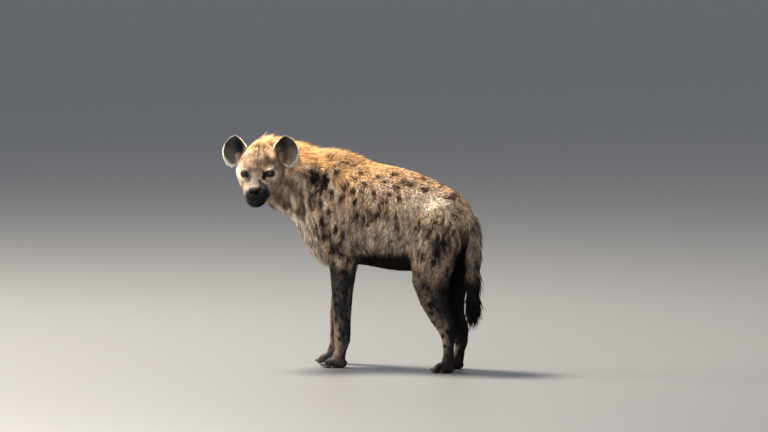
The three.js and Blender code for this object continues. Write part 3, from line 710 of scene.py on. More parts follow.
# Bands over which a mark comes in or goes, in pixels down or across the photograph.
GOLD_EDGE = (-9, 10)
GOLD_THINS_ACROSS = (370, 430)
THIGH_FRONT_ACROSS, THIGH_FRONT_HALF = 412, (2, 6)
THIGH_FRONT_DOWN = (228, 240)
THIGH_FRONT_ENDS = (268, 285)
PATCHY_DOWN = (170, 215)
FLANK_DOWN = (203, 243)
BELLY_DOWN = (249, 261)
BELLY_ACROSS = (338, 354)
THIGH_DOWN = (258, 292)
STERN_ACROSS = (436, 450)
TAIL_END_DOWN = (254, 276)
TAIL_BLACK_DOWN = (262, 284)
BEHIND_SHADE_DOWN = (255, 285)
CLEFT_SHADE_ACROSS, CLEFT_SHADE_DOWN = (446, 456), (236, 262)
SHIN_DOWN, SHIN_ENDS = (296, 322), (350, 362)
THROAT_DOWN, CHEST_ENDS = (190, 205), (276, 296)
# Painted highlights, pale places where the light falls on the coat: the middle across and down, and how wide
# and high.
RUMP_HIGHLIGHT = (430, 203, 22, 9)
FLANK_HIGHLIGHT = (394, 238, 16, 13)
SHOULDER_HIGHLIGHT = (345, 240, 12, 20)
CHEST_WAY = np.array([0.05, -0.86, -0.5])  # the way the throat and chest face

KIND = {
    "trunk": "trunk",
    "neck": "neck",
    "head": "head",
    "lower_jaw": "head",
    "left_ear": "ear",
    "right_ear": "ear",
    "tail": "tail",
    "tail_brush": "brush",
    "shoulder": "upper",
    "thigh": "upper",
    "forearm": "lower",
    "shank": "lower",
    "paw": "paw",
}
KIND_BLEND = 12 * MM
FORE_ELBOW = (290 * MM, 430 * MM)  # heights over which the dark lower leg becomes the upper one
HIND_KNEE = (240 * MM, 400 * MM)
MIRROR_SHIFT = np.array([0, 22, -10]) * MM  # keeps the two sides from matching
FORE_SHIFT, HIND_SHIFT = 120 * MM, 55 * MM
SHIFTED_BELOW = (300 * MM, 600 * MM)
MARK_SEED = 11


def ripple(waves, places, length, turns=5):
    """A soft random number for each place, from about -1 to 1, in waves of a given length."""
    total = 0
    for _ in range(turns):
        way = waves.normal(size=3)
        way *= 2 * math.pi / (length * waves.uniform(0.7, 1.4) * np.linalg.norm(way))
        total = total + np.sin(places @ way + waves.uniform(0, 2 * math.pi))
    return total / math.sqrt(turns) / 1.2


def drawn_ripple(waves, places, normals, length):
    """The same, drawn out along the lie of the hair: down the flanks and back along the spine."""
    top = ease(normals[:, 2], 0.35, 0.85)
    down = ripple(waves, places * [1, 0.9, 0.26], length, 9)
    along = ripple(waves, places * [1, 0.26, 0.9], length, 9)
    return down * (1 - top) + along * top


def parts_near(places):
    """How far each place is from each part of the body."""
    points = list(places.T)
    apart_here = {name: body.sampled(far, points) for name, far in apart.items()}
    from_face = into_head(places)
    within = np.clip(from_face, HEAD_LOW, HEAD_HIGH)
    outside = np.linalg.norm(from_face - within, axis=1)
    for name in ("left_ear", "right_ear"):
        apart_here[name] = skull.sampled(in_head[name], list(within.T)) + outside
    return apart_here


def kinds_near(apart_here, places):
    """The share that each kind of part has in each place. The shares add up to 1."""
    least = np.minimum.reduce(list(apart_here.values()))
    shares = dict.fromkeys(KIND.values(), 0)
    for name, far in apart_here.items():
        kind = KIND[part_of(name, KIND)]
        shares[kind] = shares[kind] + np.exp((least - far) / KIND_BLEND)
    total = sum(shares.values())
    shares = {kind: share / total for kind, share in shares.items()}
    on_leg = shares["upper"] + shares["lower"]
    height = places[:, 2]
    is_upper = np.where(places[:, 1] < ORIGIN[1], ease(height, *FORE_ELBOW), ease(height, *HIND_KNEE))
    shares["upper"] = on_leg * is_upper
    shares["lower"] = on_leg * (1 - is_upper)
    return shares


def ellipse_marks(spots, across, down, soft=0.4):
    """How much each pixel is in one of some soft ellipses."""
    marked = np.zeros(len(across), np.float32)
    for spot_across, spot_down, half_wide, half_high, *more in spots:
        strength, turn = more or (1, 0)
        turn = math.radians(turn)
        x, y = across - spot_across, down - spot_down
        x, y = x * math.cos(turn) + y * math.sin(turn), y * math.cos(turn) - x * math.sin(turn)
        far = np.hypot(x / half_wide, y / half_high)
        marked = np.maximum(marked, strength * (1 - ease(far, 1 - soft, 1 + soft)))
    return marked


def painted_highlight(light, across, down):
    """How much each pixel is in a painted highlight, a soft pale place where the light falls."""
    light_across, light_down, wide, high = light
    return np.exp(-(((across - light_across) / wide) ** 2) - ((down - light_down) / high) ** 2)


def as_pixels(seen):
    """Where places, as seen from the origin, show in the photograph: across and down."""
    across = ORIGIN_ACROSS + PHOTO_SCALE * seen @ np.array(right)
    return across, ORIGIN_DOWN - PHOTO_SCALE * seen @ np.array(up)


def near_side(seen):
    """The places of the near side whose marks the far side takes, a little shifted."""
    middle = np.interp(seen[:, 1], NECK_Y, NECK_X)
    low = 1 - ease(seen[:, 2], *SHIFTED_BELOW)
    leg_shift = np.where(seen[:, 1] < 0, FORE_SHIFT, HIND_SHIFT) * low
    mirrored = np.stack([2 * middle - seen[:, 0], seen[:, 1] + leg_shift, seen[:, 2]], 1) + MIRROR_SHIFT
    return np.where((seen[:, 0] < middle)[:, None], mirrored, seen)


def body_marks(places, normals, kinds, waves):
    """The marks everywhere but on the head and the ears, which they also reach, and their fine noise."""
    across, down = as_pixels(near_side(places - ORIGIN))
    across = across + 0.8 * ripple(waves, places, 34 * MM) + 0.9 * ripple(waves, places, 15 * MM)
    down = down + 1.2 * ripple(waves, places, 34 * MM) + 1.2 * ripple(waves, places, 15 * MM)
    mottle = ripple(waves, places, 60 * MM)
    fine = ripple(waves, places, 16 * MM)
    streak = drawn_ripple(waves, places, normals, 24 * MM)
    patch = ripple(waves, places, 30 * MM)
    torso = kinds["trunk"] + kinds["neck"] + kinds["upper"]
    low_leg = kinds["lower"] + kinds["paw"]
    facing = normals @ np.array([0, -1, 0])
    is_hind = ease(places[:, 1], ORIGIN[1] - 60 * MM, ORIGIN[1] + 60 * MM)

    gold_end = np.interp(across, GOLD_ACROSS, GOLD_DOWN)
    gold = 1 - ease(down, gold_end + GOLD_EDGE[0], gold_end + GOLD_EDGE[1] + 3 * mottle)
    gold = gold * (1 - 0.5 * ease(across, *GOLD_THINS_ACROSS)) * (kinds["trunk"] + kinds["neck"])
    thigh_front = 1 - ease(np.abs(across - THIGH_FRONT_ACROSS), *THIGH_FRONT_HALF)
    thigh_front = thigh_front * ease(down, *THIGH_FRONT_DOWN) * (1 - ease(down, *THIGH_FRONT_ENDS))
    gold = gold + 0.5 * thigh_front * kinds["upper"]

    spot = 1.1 * ellipse_marks(BLACK_SPOTS, across, down, 0.45)
    spot = spot * (torso + low_leg + kinds["tail"]) * (0.85 + 0.3 * fine)
    umber = 1.6 * ellipse_marks(BROWN_SPOTS, across, down, 0.42) * (torso + low_leg + kinds["tail"])
    brown = np.minimum(umber, 1)
    umber = np.maximum(umber, ellipse_marks(BLACK_SPOTS, across, down, 0.8) * torso)
    umber = np.maximum(umber, np.maximum(0.9 * patch, 0) * kinds["upper"])
    umber = np.maximum(umber, np.maximum(0.7 * patch, 0) * kinds["trunk"] * ease(down, *PATCHY_DOWN))
    shaded = ellipse_marks(SHADED, across, down, 0.7) * (torso + low_leg) * (0.85 + 0.4 * streak)

    # The flank goes from tan to an ashy brown lower down, its own colour darkened by painted shade, as is the
    # neck below the gold; the belly is nearly black, and the insides of the thighs get painted shade.
    under = ease(down, FLANK_DOWN[0] + 4 * mottle, FLANK_DOWN[1])
    grey = 0.7 * under * (kinds["trunk"] + kinds["neck"]) + 0.4 * under * kinds["upper"] + 0.75 * kinds["tail"]
    grey = np.maximum(grey, (0.62 + 0.3 * streak) * kinds["neck"] * (1 - gold))
    umber = np.maximum(umber, (0.52 + 0.2 * streak) * kinds["neck"] * (1 - gold))
    belly = ease(down, BELLY_DOWN[0] + 2 * fine, BELLY_DOWN[1]) * kinds["trunk"] * ease(across, *BELLY_ACROSS)
    dark = belly + kinds["upper"] * (0.2 * under + 0.5 * ease(down, *THIGH_DOWN))
    dark = dark + 0.34 * shaded * (1 - 0.3 * gold) + 0.3 * ease(across, *STERN_ACROSS) * kinds["upper"] * under
    umber = np.maximum(umber, 0.55 * shaded)
    dark = dark + 0.22 * brown * torso
    dark = dark + 0.44 * np.maximum(streak - 0.05, 0) * torso * (0.5 + 0.5 * under)
    # Painted sunlight: the fronts of the lower legs, which face the light, are made less dark.
    in_front = ease(facing, -0.35, 0.45)
    dark = dark - (0.3 + 0.35 * is_hind) * np.maximum(patch, 0) * low_leg * in_front
    dark = dark + low_leg * (0.93 - (0.18 + 0.26 * is_hind) * in_front - 0.24 * mottle - 0.2 * streak)
    grey = np.maximum(grey, 0.75 * low_leg)
    # Painted shade on the insides of the legs, which face away from the light.
    inner = ease(-(places[:, 0] - MIDDLE) * normals[:, 0] / (60 * MM), -0.2, 0.5)
    inner = inner * (kinds["upper"] + kinds["lower"] * (0.35 + 0.65 * is_hind))
    dark = np.maximum.reduce([dark, 0.85 * inner, kinds["brush"]])
    tail_end = ease(down, TAIL_END_DOWN[0] + 5 * fine, TAIL_END_DOWN[1])
    dark = np.maximum(dark, kinds["tail"] * (0.52 + 0.2 * streak + 0.6 * tail_end))

    # The belly and the tail's brush are blacker still, and painted shade darkens the backs and insides of the
    # hind legs, the backs of the hind feet and the cleft between the thigh and the tail.
    behind = (kinds["lower"] + 0.8 * kinds["upper"] * ease(down, *BEHIND_SHADE_DOWN)) * is_hind
    behind = behind * ease(normals[:, 1], 0.0, 0.6)
    cleft_shade = ease(across, *CLEFT_SHADE_ACROSS) * ease(down, *CLEFT_SHADE_DOWN) * (kinds["upper"] + kinds["trunk"]) * is_hind
    spot = np.maximum.reduce([
        spot,
        0.9 * belly,
        0.8 * inner,
        0.85 * kinds["brush"],
        0.75 * behind,
        0.9 * cleft_shade,
        0.7 * kinds["tail"] * ease(down, *TAIL_BLACK_DOWN),
        0.7 * kinds["paw"] * is_hind * ease(normals[:, 1], -0.3, 0.4),
        0.9 * ease(-patch, 0.5, 0.9) * low_leg,
    ])

    # Painted sunlight runs down the front of the shins; the throat and chest are cream, paler still with
    # painted rim light where they face the light.
    sunlit_shin = ease(facing, 0.2, 0.75) * low_leg * (1 - ease(down, *SHIN_ENDS)) * ease(down, *SHIN_DOWN)
    sunlit_shin = np.maximum(sunlit_shin, 0.85 * ellipse_marks(SHIN_SUNLIGHT, across, down, 0.5) * low_leg)
    dark = dark * (1 - 0.85 * sunlit_shin * (0.85 + 0.3 * fine))
    grey = grey * (1 - 0.3 * sunlit_shin)
    spot = spot * (1 - 0.9 * sunlit_shin)
    umber = umber * (1 - 0.6 * sunlit_shin)
    throat = ease(normals @ CHEST_WAY, 0.35, 0.8) * (kinds["neck"] + 0.8 * kinds["trunk"])
    throat = throat * (1 - ease(down, *CHEST_ENDS)) * ease(down, *THROAT_DOWN)
    pale = 1.5 * throat * (0.85 + 0.5 * streak) + 0.16 * sunlit_shin * (0.8 + 0.6 * fine)
    # Painted highlights: pale glows where the light falls on the rump, the flank and the shoulder.
    lit = np.maximum(0.4 + streak, 0)
    pale = pale + painted_highlight(RUMP_HIGHLIGHT, across, down) * torso * (0.7 + 0.9 * streak)
    pale = pale + 0.42 * painted_highlight(FLANK_HIGHLIGHT, across, down) * kinds["trunk"] * lit
    pale = pale + 0.2 * painted_highlight(SHOULDER_HIGHLIGHT, across, down) * torso * lit
    pale = pale + (0.5 * np.maximum(-streak - 0.1, 0) + 0.16 * np.maximum(mottle, 0)) * torso * (1 - dark)
    pale = pale + 0.4 * np.maximum(-streak, 0) * kinds["tail"]
    marks = {"gold": gold, "grey": grey, "pale": pale, "umber": umber, "dark": dark, "spot": spot}
    return marks, mottle, fine


def face_marks(marks, places, normals, on_head, mottle, fine):
    """The face: sandy, with dark eye rims, pale brows, a slate muzzle, black lips and chin; one side of the
    muzzle has painted shade, the other painted sunlight.
    """
    x, y, z = (into_head(places) / MM).T
    side = np.abs(y)
    across, down = as_pixels(places - ORIGIN)
    across = across + 0.5 * fine
    shows = ease(normals @ np.array(back), -0.15, 0.2)
    face_black_and_shade = 1.35 * shows * ellipse_marks(FACE_BLACK_AND_SHADE, across, down + 0.5 * fine, 0.4)
    face_grey = shows * ellipse_marks(FACE_GREY, across, down, 0.5)
    face_pale_and_sunlit = shows * ellipse_marks(FACE_PALE_AND_SUNLIT, across, down, 0.45)
    muzzle = ease(x + 0.35 * (-30 - z), 62, 90) * (0.74 + 0.12 * fine)
    mouth = ease(-50 - z + 0.12 * (x - 100), 0, 12) * ease(x, 16, 50)
    chin = ease(-70 - z, -6, 6) * ease(x, 50, 84)
    midline = np.exp(-((y / 3.2) ** 2)) * ease(z, 10, 22) * (1 - ease(x, 20, 50)) * ease(x, -90, -60)
    lips = np.maximum(mouth * ease(x, 40, 70), chin)
    eye_patch = (1 - ease(np.hypot((side - 47) / 19, (z - 5) / 11), 0.7, 1.2)) * ease(x, -16, -4)
    face_dark = np.maximum.reduce([muzzle, mouth, chin, 0.85 * midline, 0.9 * eye_patch])
    face_dark = np.maximum.reduce([face_dark * (1 - 0.8 * face_pale_and_sunlit), face_black_and_shade, face_grey])
    marks["dark"] = marks["dark"] + on_head * face_dark
    blackest = np.maximum.reduce([lips, 0.7 * eye_patch, 0.85 * face_black_and_shade])
    marks["spot"] = np.maximum(marks["spot"], on_head * blackest)
    cheek = ease(side, 46, 70) * ease(z, -70, -20) * (1 - ease(z, 14, 44)) * ease(x, -70, -10)
    marks["pale"] = marks["pale"] + on_head * (np.maximum(face_pale_and_sunlit, 0.3 * cheek) + 0.03)
    crown = ease(-x, 30, 62) * ease(z, 36, 56) * (1 - ease(side, 44, 68))
    marks["gold"] = marks["gold"] + on_head * crown
    ruff = ease(-x, 30, 80) * (1 - ease(z, 0, 30))
    forehead = ease(z, 0, 20) * (1 - crown)
    bridge = ease(x, 0, 25) * (1 - ease(side, 14, 34)) * ease(z, -56, -34)
    greyed = 0.3 * ruff + 0.18 * (1 - crown) + 0.12 * np.maximum(mottle, 0) + 0.4 * bridge
    marks["grey"] = marks["grey"] + on_head * greyed
    browned = 0.2 + 0.44 * forehead + 0.16 * bridge + 0.26 * crown + 0.05 * fine
    marks["umber"] = marks["umber"] + on_head * browned
    ticking = 0.3 * np.maximum(fine - 0.2, 0) * ease(z, 14, 34) * (1 - ease(x, 20, 60))
    marks["spot"] = marks["spot"] + on_head * ticking


def ear_marks(marks, places, normals, on_ear):
    """The ears: dark inside, with a pale rim and pale hair on the inner edge, and brown behind."""
    _, y, z = (into_head(places) / MM).T
    y, z = np.abs(y) - EAR_MIDDLE[0], z - EAR_MIDDLE[1]
    from_middle = np.hypot(y, z) / np.interp(np.arctan2(z, y), EAR_AROUND, EAR_FAR)
    inside = ease(normals @ HEAD_AXES[0], 0.0, 0.35)
    edge = ease(from_middle, 0.89, 0.98)
    hollow = inside * (1 - edge)
    inner_fold = ease(-y - 0.3 * z, 24, 38) * inside * (1 - ease(z, 10, 30))
    deep = np.exp(-(((y + 14) / 19) ** 2) - ((z - 6) / 34) ** 2)
    marks["dark"] = marks["dark"] + on_ear * hollow * (0.82 + 0.5 * deep) * (1 - 0.5 * inner_fold)
    marks["dark"] = marks["dark"] + 0.25 * on_ear * (1 - inside) * (1 - edge)
    marks["spot"] = np.maximum(marks["spot"], 0.95 * on_ear * deep * inside)
    marks["pale"] = marks["pale"] + on_ear * (edge + 0.4 * inner_fold)
    marks["grey"] = marks["grey"] + on_ear * (0.75 + 0.15 * (1 - inside))
    marks["pale"] = marks["pale"] + 0.4 * on_ear * hollow * ease(y - z, 4, 40)


def markings(places, normals, kinds):
    """All the marks at some places, by name."""
    waves = np.random.default_rng(MARK_SEED)
    marks, mottle, fine = body_marks(places, normals, kinds, waves)
    face_marks(marks, places, normals, kinds["head"], mottle, fine)
    ear_marks(marks, places, normals, kinds["ear"])
    return {name: np.clip(values, 0, 1).astype(np.float32) for name, values in marks.items()}


def give(mesh, name, values, domain="POINT", kind="FLOAT"):
    """Stores a number, or a vector, for each place of a mesh."""
    layer = mesh.attributes.new(name, kind, domain)
    field = "vector" if kind == "FLOAT_VECTOR" else "value"
    layer.data.foreach_set(field, np.ascontiguousarray(values, np.float32).ravel())


COMB = np.array([1, 1, 0.22])  # the hair's lie draws patterns out downwards, and backwards on the head
LID_EDGE = (16.4 * MM, 19 * MM)
skin_places, skin_triangles, skin_normals = mesh_arrays(skin.data)
skin_apart = parts_near(skin_places)
skin_kinds = kinds_near(skin_apart, skin_places)
for mark, values in markings(skin_places, skin_normals, skin_kinds).items():
    give(skin.data, mark, values)
in_face = into_head(skin_places)
on_head = (skin_kinds["head"] + skin_kinds["ear"])[:, None]
comb = skin_places * COMB * (1 - on_head) + in_face * COMB[::-1] * on_head
give(skin.data, "comb", comb, kind="FLOAT_VECTOR")
is_ear_inside = skin_kinds["ear"] * ease(skin_normals @ HEAD_AXES[0], 0.1, 0.5)
bare = is_ear_inside * 0.7 + skin_kinds["head"] * ease(in_face[:, 0], 92 * MM, 110 * MM)
bare = np.maximum(bare, skin_kinds["paw"] * ease(-skin_normals[:, 2], 0.5, 0.9))
from_eyes = np.minimum(*[np.linalg.norm(in_face - EYE_AT * [1, hand, 1], axis=1) for hand in (1, -1)])
give(skin.data, "bare", np.clip(np.maximum(bare, 1 - ease(from_eyes, *LID_EDGE)), 0, 1))


def fill(tree, socket, value):
    """Gives a socket its value, or a link where the value is another node's socket."""
    if isinstance(value, Measure):
        value = value.socket
    if isinstance(value, bpy.types.NodeSocket):
        tree.links.new(value, socket)
    else:
        socket.default_value = value


def add_node(tree, kind, settings, *values, **named):
    """Adds a node: its type, its settings, then its sockets' values by place, or None, and by name."""
    made = tree.nodes.new(kind)
    for setting, value in settings.items():
        setattr(made, setting, value)
    for place, value in enumerate(values):
        if value is not None:
            fill(tree, made.inputs[place], value)
    for name, value in named.items():
        fill(tree, made.inputs[name.replace("_", " ")], value)
    return made


class Measure:
    """A number that changes over a surface. Arithmetic on it adds Math nodes to its material."""

    def __init__(self, finish, socket):
        self.finish = finish
        self.socket = socket

    def _with(self, operation, first, second):
        made = self.finish.node("ShaderNodeMath", {"operation": operation}, first, second)
        return Measure(self.finish, made.outputs[0])

    def __add__(self, other):
        return self._with("ADD", self, other)

    def __sub__(self, other):
        return self._with("SUBTRACT", self, other)

    def __rsub__(self, other):
        return self._with("SUBTRACT", other, self)

    def __mul__(self, other):
        return self._with("MULTIPLY", self, other)

    __radd__ = __add__
    __rmul__ = __mul__


class Finish:
    """A material, with one method that adds any node to it."""

    def __init__(self, name, roughness, **sockets):
        self.material = bpy.data.materials.new(name)
        self.material.use_nodes = True
        self.tree = self.material.node_tree
        self.shader = self.tree.nodes["Principled BSDF"]
        self.set("Roughness", roughness)
        for socket, value in sockets.items():
            self.set(socket.replace("_", " "), value)

    def set(self, socket, value):
        fill(self.tree, self.shader.inputs[socket], value)

    def node(self, kind, settings, *values, **named):
        return add_node(self.tree, kind, settings, *values, **named)

    def mark(self, name):
        """A number that the mesh carries."""
        return Measure(self, self.node("ShaderNodeAttribute", {"attribute_name": name}).outputs["Fac"])

    def places(self, name=None):
        """Where a pattern is looked up: the object's own coordinates, or a vector that the mesh carries."""
        if name:
            return self.node("ShaderNodeAttribute", {"attribute_name": name}).outputs["Vector"]
        return self.node("ShaderNodeTexCoord", {}).outputs["Object"]

    def noise(self, where, scale, detail=2.0):
        made = self.node("ShaderNodeTexNoise", {}, Vector=where, Scale=scale, Detail=detail)
        return Measure(self, made.outputs["Fac"])

    def stepped(self, value, start, end):
        """0 where the value is below start, 1 above end."""
        settings = {"interpolation_type": "SMOOTHSTEP"}
        made = self.node("ShaderNodeMapRange", settings, value, start, end)
        return Measure(self, made.outputs["Result"])

    def mixed(self, first, second, share):
        """Two colours mixed. A colour is three numbers or a socket."""
        first, second = ((*colour, 1) if isinstance(colour, tuple) else colour for colour in (first, second))
        settings = {"data_type": "RGBA", "clamp_factor": True}
        made = self.node("ShaderNodeMix", settings, share, *[None] * 5, first, second)
        return made.outputs[2]

    def lightened(self, colour, by):
        """A colour times a number."""
        return self.node("ShaderNodeVectorMath", {"operation": "SCALE"}, colour, Scale=by).outputs[0]

    def bumped(self, height, depth):
        self.set("Normal", self.node("ShaderNodeBump", {}, Distance=depth, Height=height).outputs["Normal"])


TAN = (0.54, 0.345, 0.21)
GOLD = (0.88, 0.50, 0.19)
ASH = (0.205, 0.165, 0.130)
CREAM = (0.88, 0.75, 0.57)
UMBER = (0.092, 0.045, 0.023)
SMOKE = (0.031, 0.030, 0.032)
SPOT = (0.0085, 0.006, 0.0055)
BARE_SKIN = (0.011, 0.010, 0.010)
DRIFT_SCALE = 38.0
DRIFT = 0.5  # how far it breaks up the marks, and for the dark and spot marks, for that
DARK_DRIFT = 0.4
SPOT_DRIFT = 0.5
UMBER_EDGE = (0.08, 0.8)
SPOT_EDGE = (0.12, 0.78)
STRAND_SCALE = 420.0
STRAND_SHADE = (0.74, 0.5)  # the darkest, and what the lightest adds to it
PORE_SCALE = 900.0
SKIN_BUMP = 1.2 * MM


def hide_colour(finish, where):
    """The colour of hair and skin from the marks that a mesh carries, broken up by a soft noise."""
    drift = (finish.noise(where, DRIFT_SCALE, 3.0) - 0.5) * DRIFT
    colour = TAN
    for mark, tint in (("gold", GOLD), ("grey", ASH), ("pale", CREAM)):
        share = finish.mark(mark)
        colour = finish.mixed(colour, tint, share + drift * share)
    colour = finish.mixed(colour, UMBER, finish.stepped(finish.mark("umber") + drift, *UMBER_EDGE))
    dark = finish.mark("dark")
    colour = finish.mixed(colour, SMOKE, dark + drift * dark * DARK_DRIFT)
    return finish.mixed(colour, SPOT, finish.stepped(finish.mark("spot") + drift * SPOT_DRIFT, *SPOT_EDGE))


hide = Finish("hide", 0.62, Specular_IOR_Level=0.16)
strands = hide.noise(hide.places("comb"), STRAND_SCALE, 3.0)
bare = hide.mark("bare")
base = hide.lightened(hide_colour(hide, hide.places()), STRAND_SHADE[0] + strands * STRAND_SHADE[1])
hide.set("Base Color", hide.mixed(base, BARE_SKIN, bare * 0.85))
hide.set("Roughness", 0.66 - bare * 0.22)
hide.bumped(strands + hide.noise(hide.places(), PORE_SCALE) * 0.5, SKIN_BUMP)
skin.data.materials.append(hide.material)


# THE EYES
# Dark brown eyes, each a ball with a bulge over the iris. They sit deep in the lids, with a film of
# water that makes them shine.
EYE_GAP = 0.45 * MM
CORNEA_WIDE = math.radians(40)
CORNEA_OUT = 1.3 * MM
PUPIL = (0.26, 0.31)  # its edge, and that of the iris, as angles from the gaze in radians
IRIS = (0.56, 0.67)
PUPIL_COLOUR = (0.004, 0.003, 0.003)
IRIS_DARK, IRIS_LIGHT = (0.009, 0.005, 0.003), (0.028, 0.013, 0.007)
WHITE_OF_EYE = (0.030, 0.018, 0.014)  # brown too, in this animal
RAY_SCALE = 700.0
eye_finish = Finish("wet_eye", 0.16, Specular_IOR_Level=0.2, Coat_Weight=0.16, Coat_Roughness=0.02)
angle = eye_finish.mark("from_gaze")
iris = eye_finish.mixed(IRIS_DARK, IRIS_LIGHT, eye_finish.noise(eye_finish.places(), RAY_SCALE, 4.0))
colour = eye_finish.mixed(PUPIL_COLOUR, iris, eye_finish.stepped(angle, *PUPIL))
eye_finish.set("Base Color", eye_finish.mixed(colour, WHITE_OF_EYE, eye_finish.stepped(angle, *IRIS)))

for hand, side in ((1, "left"), (-1, "right")):
    gaze = Vector(eye_axes(hand)[0])
    form = bmesh.new()
    bmesh.ops.create_icosphere(form, subdivisions=5, radius=1)
    turns = []
    for vertex in form.verts:
        way = vertex.co.normalized()
        turned = math.acos(max(-1, min(1, way.dot(gaze))))
        share = min(turned / CORNEA_WIDE, 1)
        bulge = CORNEA_OUT * (1 - share * share) ** 1.5
        vertex.co = way * (EYE_RADIUS - EYE_GAP - CORNEA_OUT / 2 + bulge)
        turns.append(turned)
    mesh = bpy.data.meshes.new(f"{side}_eyeball")
    form.to_mesh(mesh)
    form.free()
    places, _, _ = mesh_arrays(mesh)
    mesh.vertices.foreach_set("co", out_of_head(places + EYE_AT * [1, hand, 1]).astype(np.float32).ravel())
    eyeball = placed(f"{side}_eyeball", mesh)
    give(mesh, "from_gaze", turns)
    mesh.materials.append(eye_finish.material)
    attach(eyeball, "root")
    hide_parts(f"{side}_eye")


# THE NOSE
# A bare black pad of thick skin, with comma-shaped nostrils that open to the sides and a furrow down its
# middle. Its grain is that of fine leather, and it is moist.
NOSE_STEP = 1.1 * MM
NOSE_REACH = 12 * MM
NOSE_HALVES = np.array([13.8, 23, 16]) * MM
NOSE_MARGIN = 5 * MM
NOSE_WAIST, NOSE_FLARE = 0.86, 0.22  # the half width in the middle, and how it grows upwards
NOSE_CURVE = 5 * MM  # how far the sides lie behind the front
BOXY = 2.6  # 2 is an ellipsoid, and more is squarer
# The ends of each tool in mm, its radius at each, and its fillet.
NOSTRIL = ((15, 10, 0), (-2, 8, -2), 6, 3.4, 3)
NOSTRIL_TAIL = ((12, 14, -2), (2, 24, -5), 3, 1.6, 2.5)
NOSE_FURROW = ((14.5, 0, 2), (12.5, 0, -15), 0.8, 1.8, 2.5)
NOSE_SOFT = 0.7
GRAIN_SCALE = 620.0
GRAIN_EDGE = (0.0, 0.22)
GRAIN_BUMP = 0.5 * MM
CRACK_COLOUR, LEATHER_COLOUR = (0.002, 0.002, 0.002), (0.007, 0.0065, 0.007)
nose_low = NOSE_AT - NOSE_HALVES - NOSE_MARGIN
nose_high = NOSE_AT + NOSE_HALVES + NOSE_MARGIN
nose_grid = Lattice(nose_low, nose_high, NOSE_STEP, NOSE_REACH)
nose_x, nose_y, nose_z = (nose_grid.x - NOSE_AT[0], nose_grid.y - NOSE_AT[1], nose_grid.z - NOSE_AT[2])
nose_half = NOSE_HALVES[1] * (NOSE_WAIST + NOSE_FLARE * nose_z / NOSE_HALVES[2])
nose_front = nose_x + NOSE_CURVE * (nose_y / NOSE_HALVES[1]) ** 2
boxy = (np.abs(nose_front) / NOSE_HALVES[0]) ** BOXY + (np.abs(nose_y) / nose_half) ** BOXY
boxy = boxy + (np.abs(nose_z) / NOSE_HALVES[2]) ** BOXY
pad = (boxy ** 0.4 - 1) * NOSE_HALVES[0]
for hand, (start, end, from_radius, to_radius, fillet) in [
    (1, NOSTRIL), (1, NOSTRIL_TAIL), (-1, NOSTRIL), (-1, NOSTRIL_TAIL), (1, NOSE_FURROW)
]:
    start, end = (NOSE_AT + np.array(place) * [1, hand, 1] * MM for place in (start, end))
    pad = carved(pad, bar(nose_grid, start, end, from_radius * MM, to_radius * MM), fillet * MM)
nose_places, nose_triangles = nose_grid.surface(softened(pad, NOSE_SOFT))
nose_pad = new_mesh("nose_pad", out_of_head(nose_places), nose_triangles)
leather = Finish("nose_leather", 0.46, Specular_IOR_Level=0.1)
settings = {"feature": "DISTANCE_TO_EDGE"}
cells = leather.node("ShaderNodeTexVoronoi", settings, Vector=leather.places(), Scale=GRAIN_SCALE)
grain = leather.stepped(Measure(leather, cells.outputs["Distance"]), *GRAIN_EDGE)
leather.set("Base Color", leather.mixed(CRACK_COLOUR, LEATHER_COLOUR, grain))
leather.set("Roughness", 0.48 - grain * 0.14)
leather.bumped(grain, GRAIN_BUMP)
nose_pad.data.materials.append(leather.material)
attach(nose_pad, "root")
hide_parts("nose")


# THE CLAWS
# Blunt claws of dark horn, four to a foot, that don't draw in. Each grows out of its toe and is worn at
# the tip. Fine streaks run along the horn.
MERGED = 0.02 * MM
STREAK_STRETCH = (1.0, 0.16, 0.3)
STREAK_SCALE = 1500.0
STREAK_EDGE = (0.42, 0.78)
HORN_DARK, HORN_LIGHT = (0.014, 0.010, 0.008), (0.12, 0.085, 0.058)
HORN_BUMP = 0.3 * MM
horn = Finish("claw_horn", 0.38, Specular_IOR_Level=0.5)
stretched = horn.node("ShaderNodeMapping", {}, Vector=horn.places(), Scale=STREAK_STRETCH)
streaks = horn.noise(stretched.outputs[0], STREAK_SCALE, 3.0)
horn.set("Base Color", horn.mixed(HORN_DARK, HORN_LIGHT, horn.stepped(streaks, *STREAK_EDGE)))
horn.set("Roughness", 0.32 + streaks * 0.2)
horn.bumped(streaks, HORN_BUMP)
for leg in LEGS:
    claw_nodes = [f"{leg}_claw_{i}" for i in CLAWS]
    form = bmesh.new()
    for name in claw_nodes:
        form.from_mesh(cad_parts[name].data)
    bmesh.ops.remove_doubles(form, verts=form.verts, dist=MERGED)
    mesh = bpy.data.meshes.new(f"{leg}_claws")
    form.to_mesh(mesh)
    form.free()
    claws = placed(f"{leg}_claws", mesh)
    rounded = claws.modifiers.new("rounded", "SUBSURF")
    rounded.levels = rounded.render_levels = 2
    settled(claws)
    claws.data.materials.append(horn.material)
    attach(claws, "root")
    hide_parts(*claw_nodes)


# THE COAT
# Coarse, shaggy hair in small locks, longest on the mane and the tail and shortest on the face and feet.
# Each lock is a closed tapering sliver, rooted under the skin. It rises from it and bends back down along
# the lie of the coat.
COAT_SEED = 23
LOCK = {  # length, width and lift in mm and degrees, then locks for each square metre
    "trunk": (34, 2.7, 14, 108_000),
    "neck": (44, 2.6, 17, 132_000),
    "head": (9, 1.6, 19, 350_000),
    "ear": (5, 1.5, 15, 260_000),
    "upper": (24, 2.9, 12, 96_000),
    "lower": (13, 2.4, 13, 140_000),
    "paw": (8, 1.9, 14, 210_000),
    "tail": (50, 3.4, 10, 92_000),
    "brush": (118, 4.0, 8, 110_000),
}
LONG, WIDE, LIFTED, DENSE = range(4)
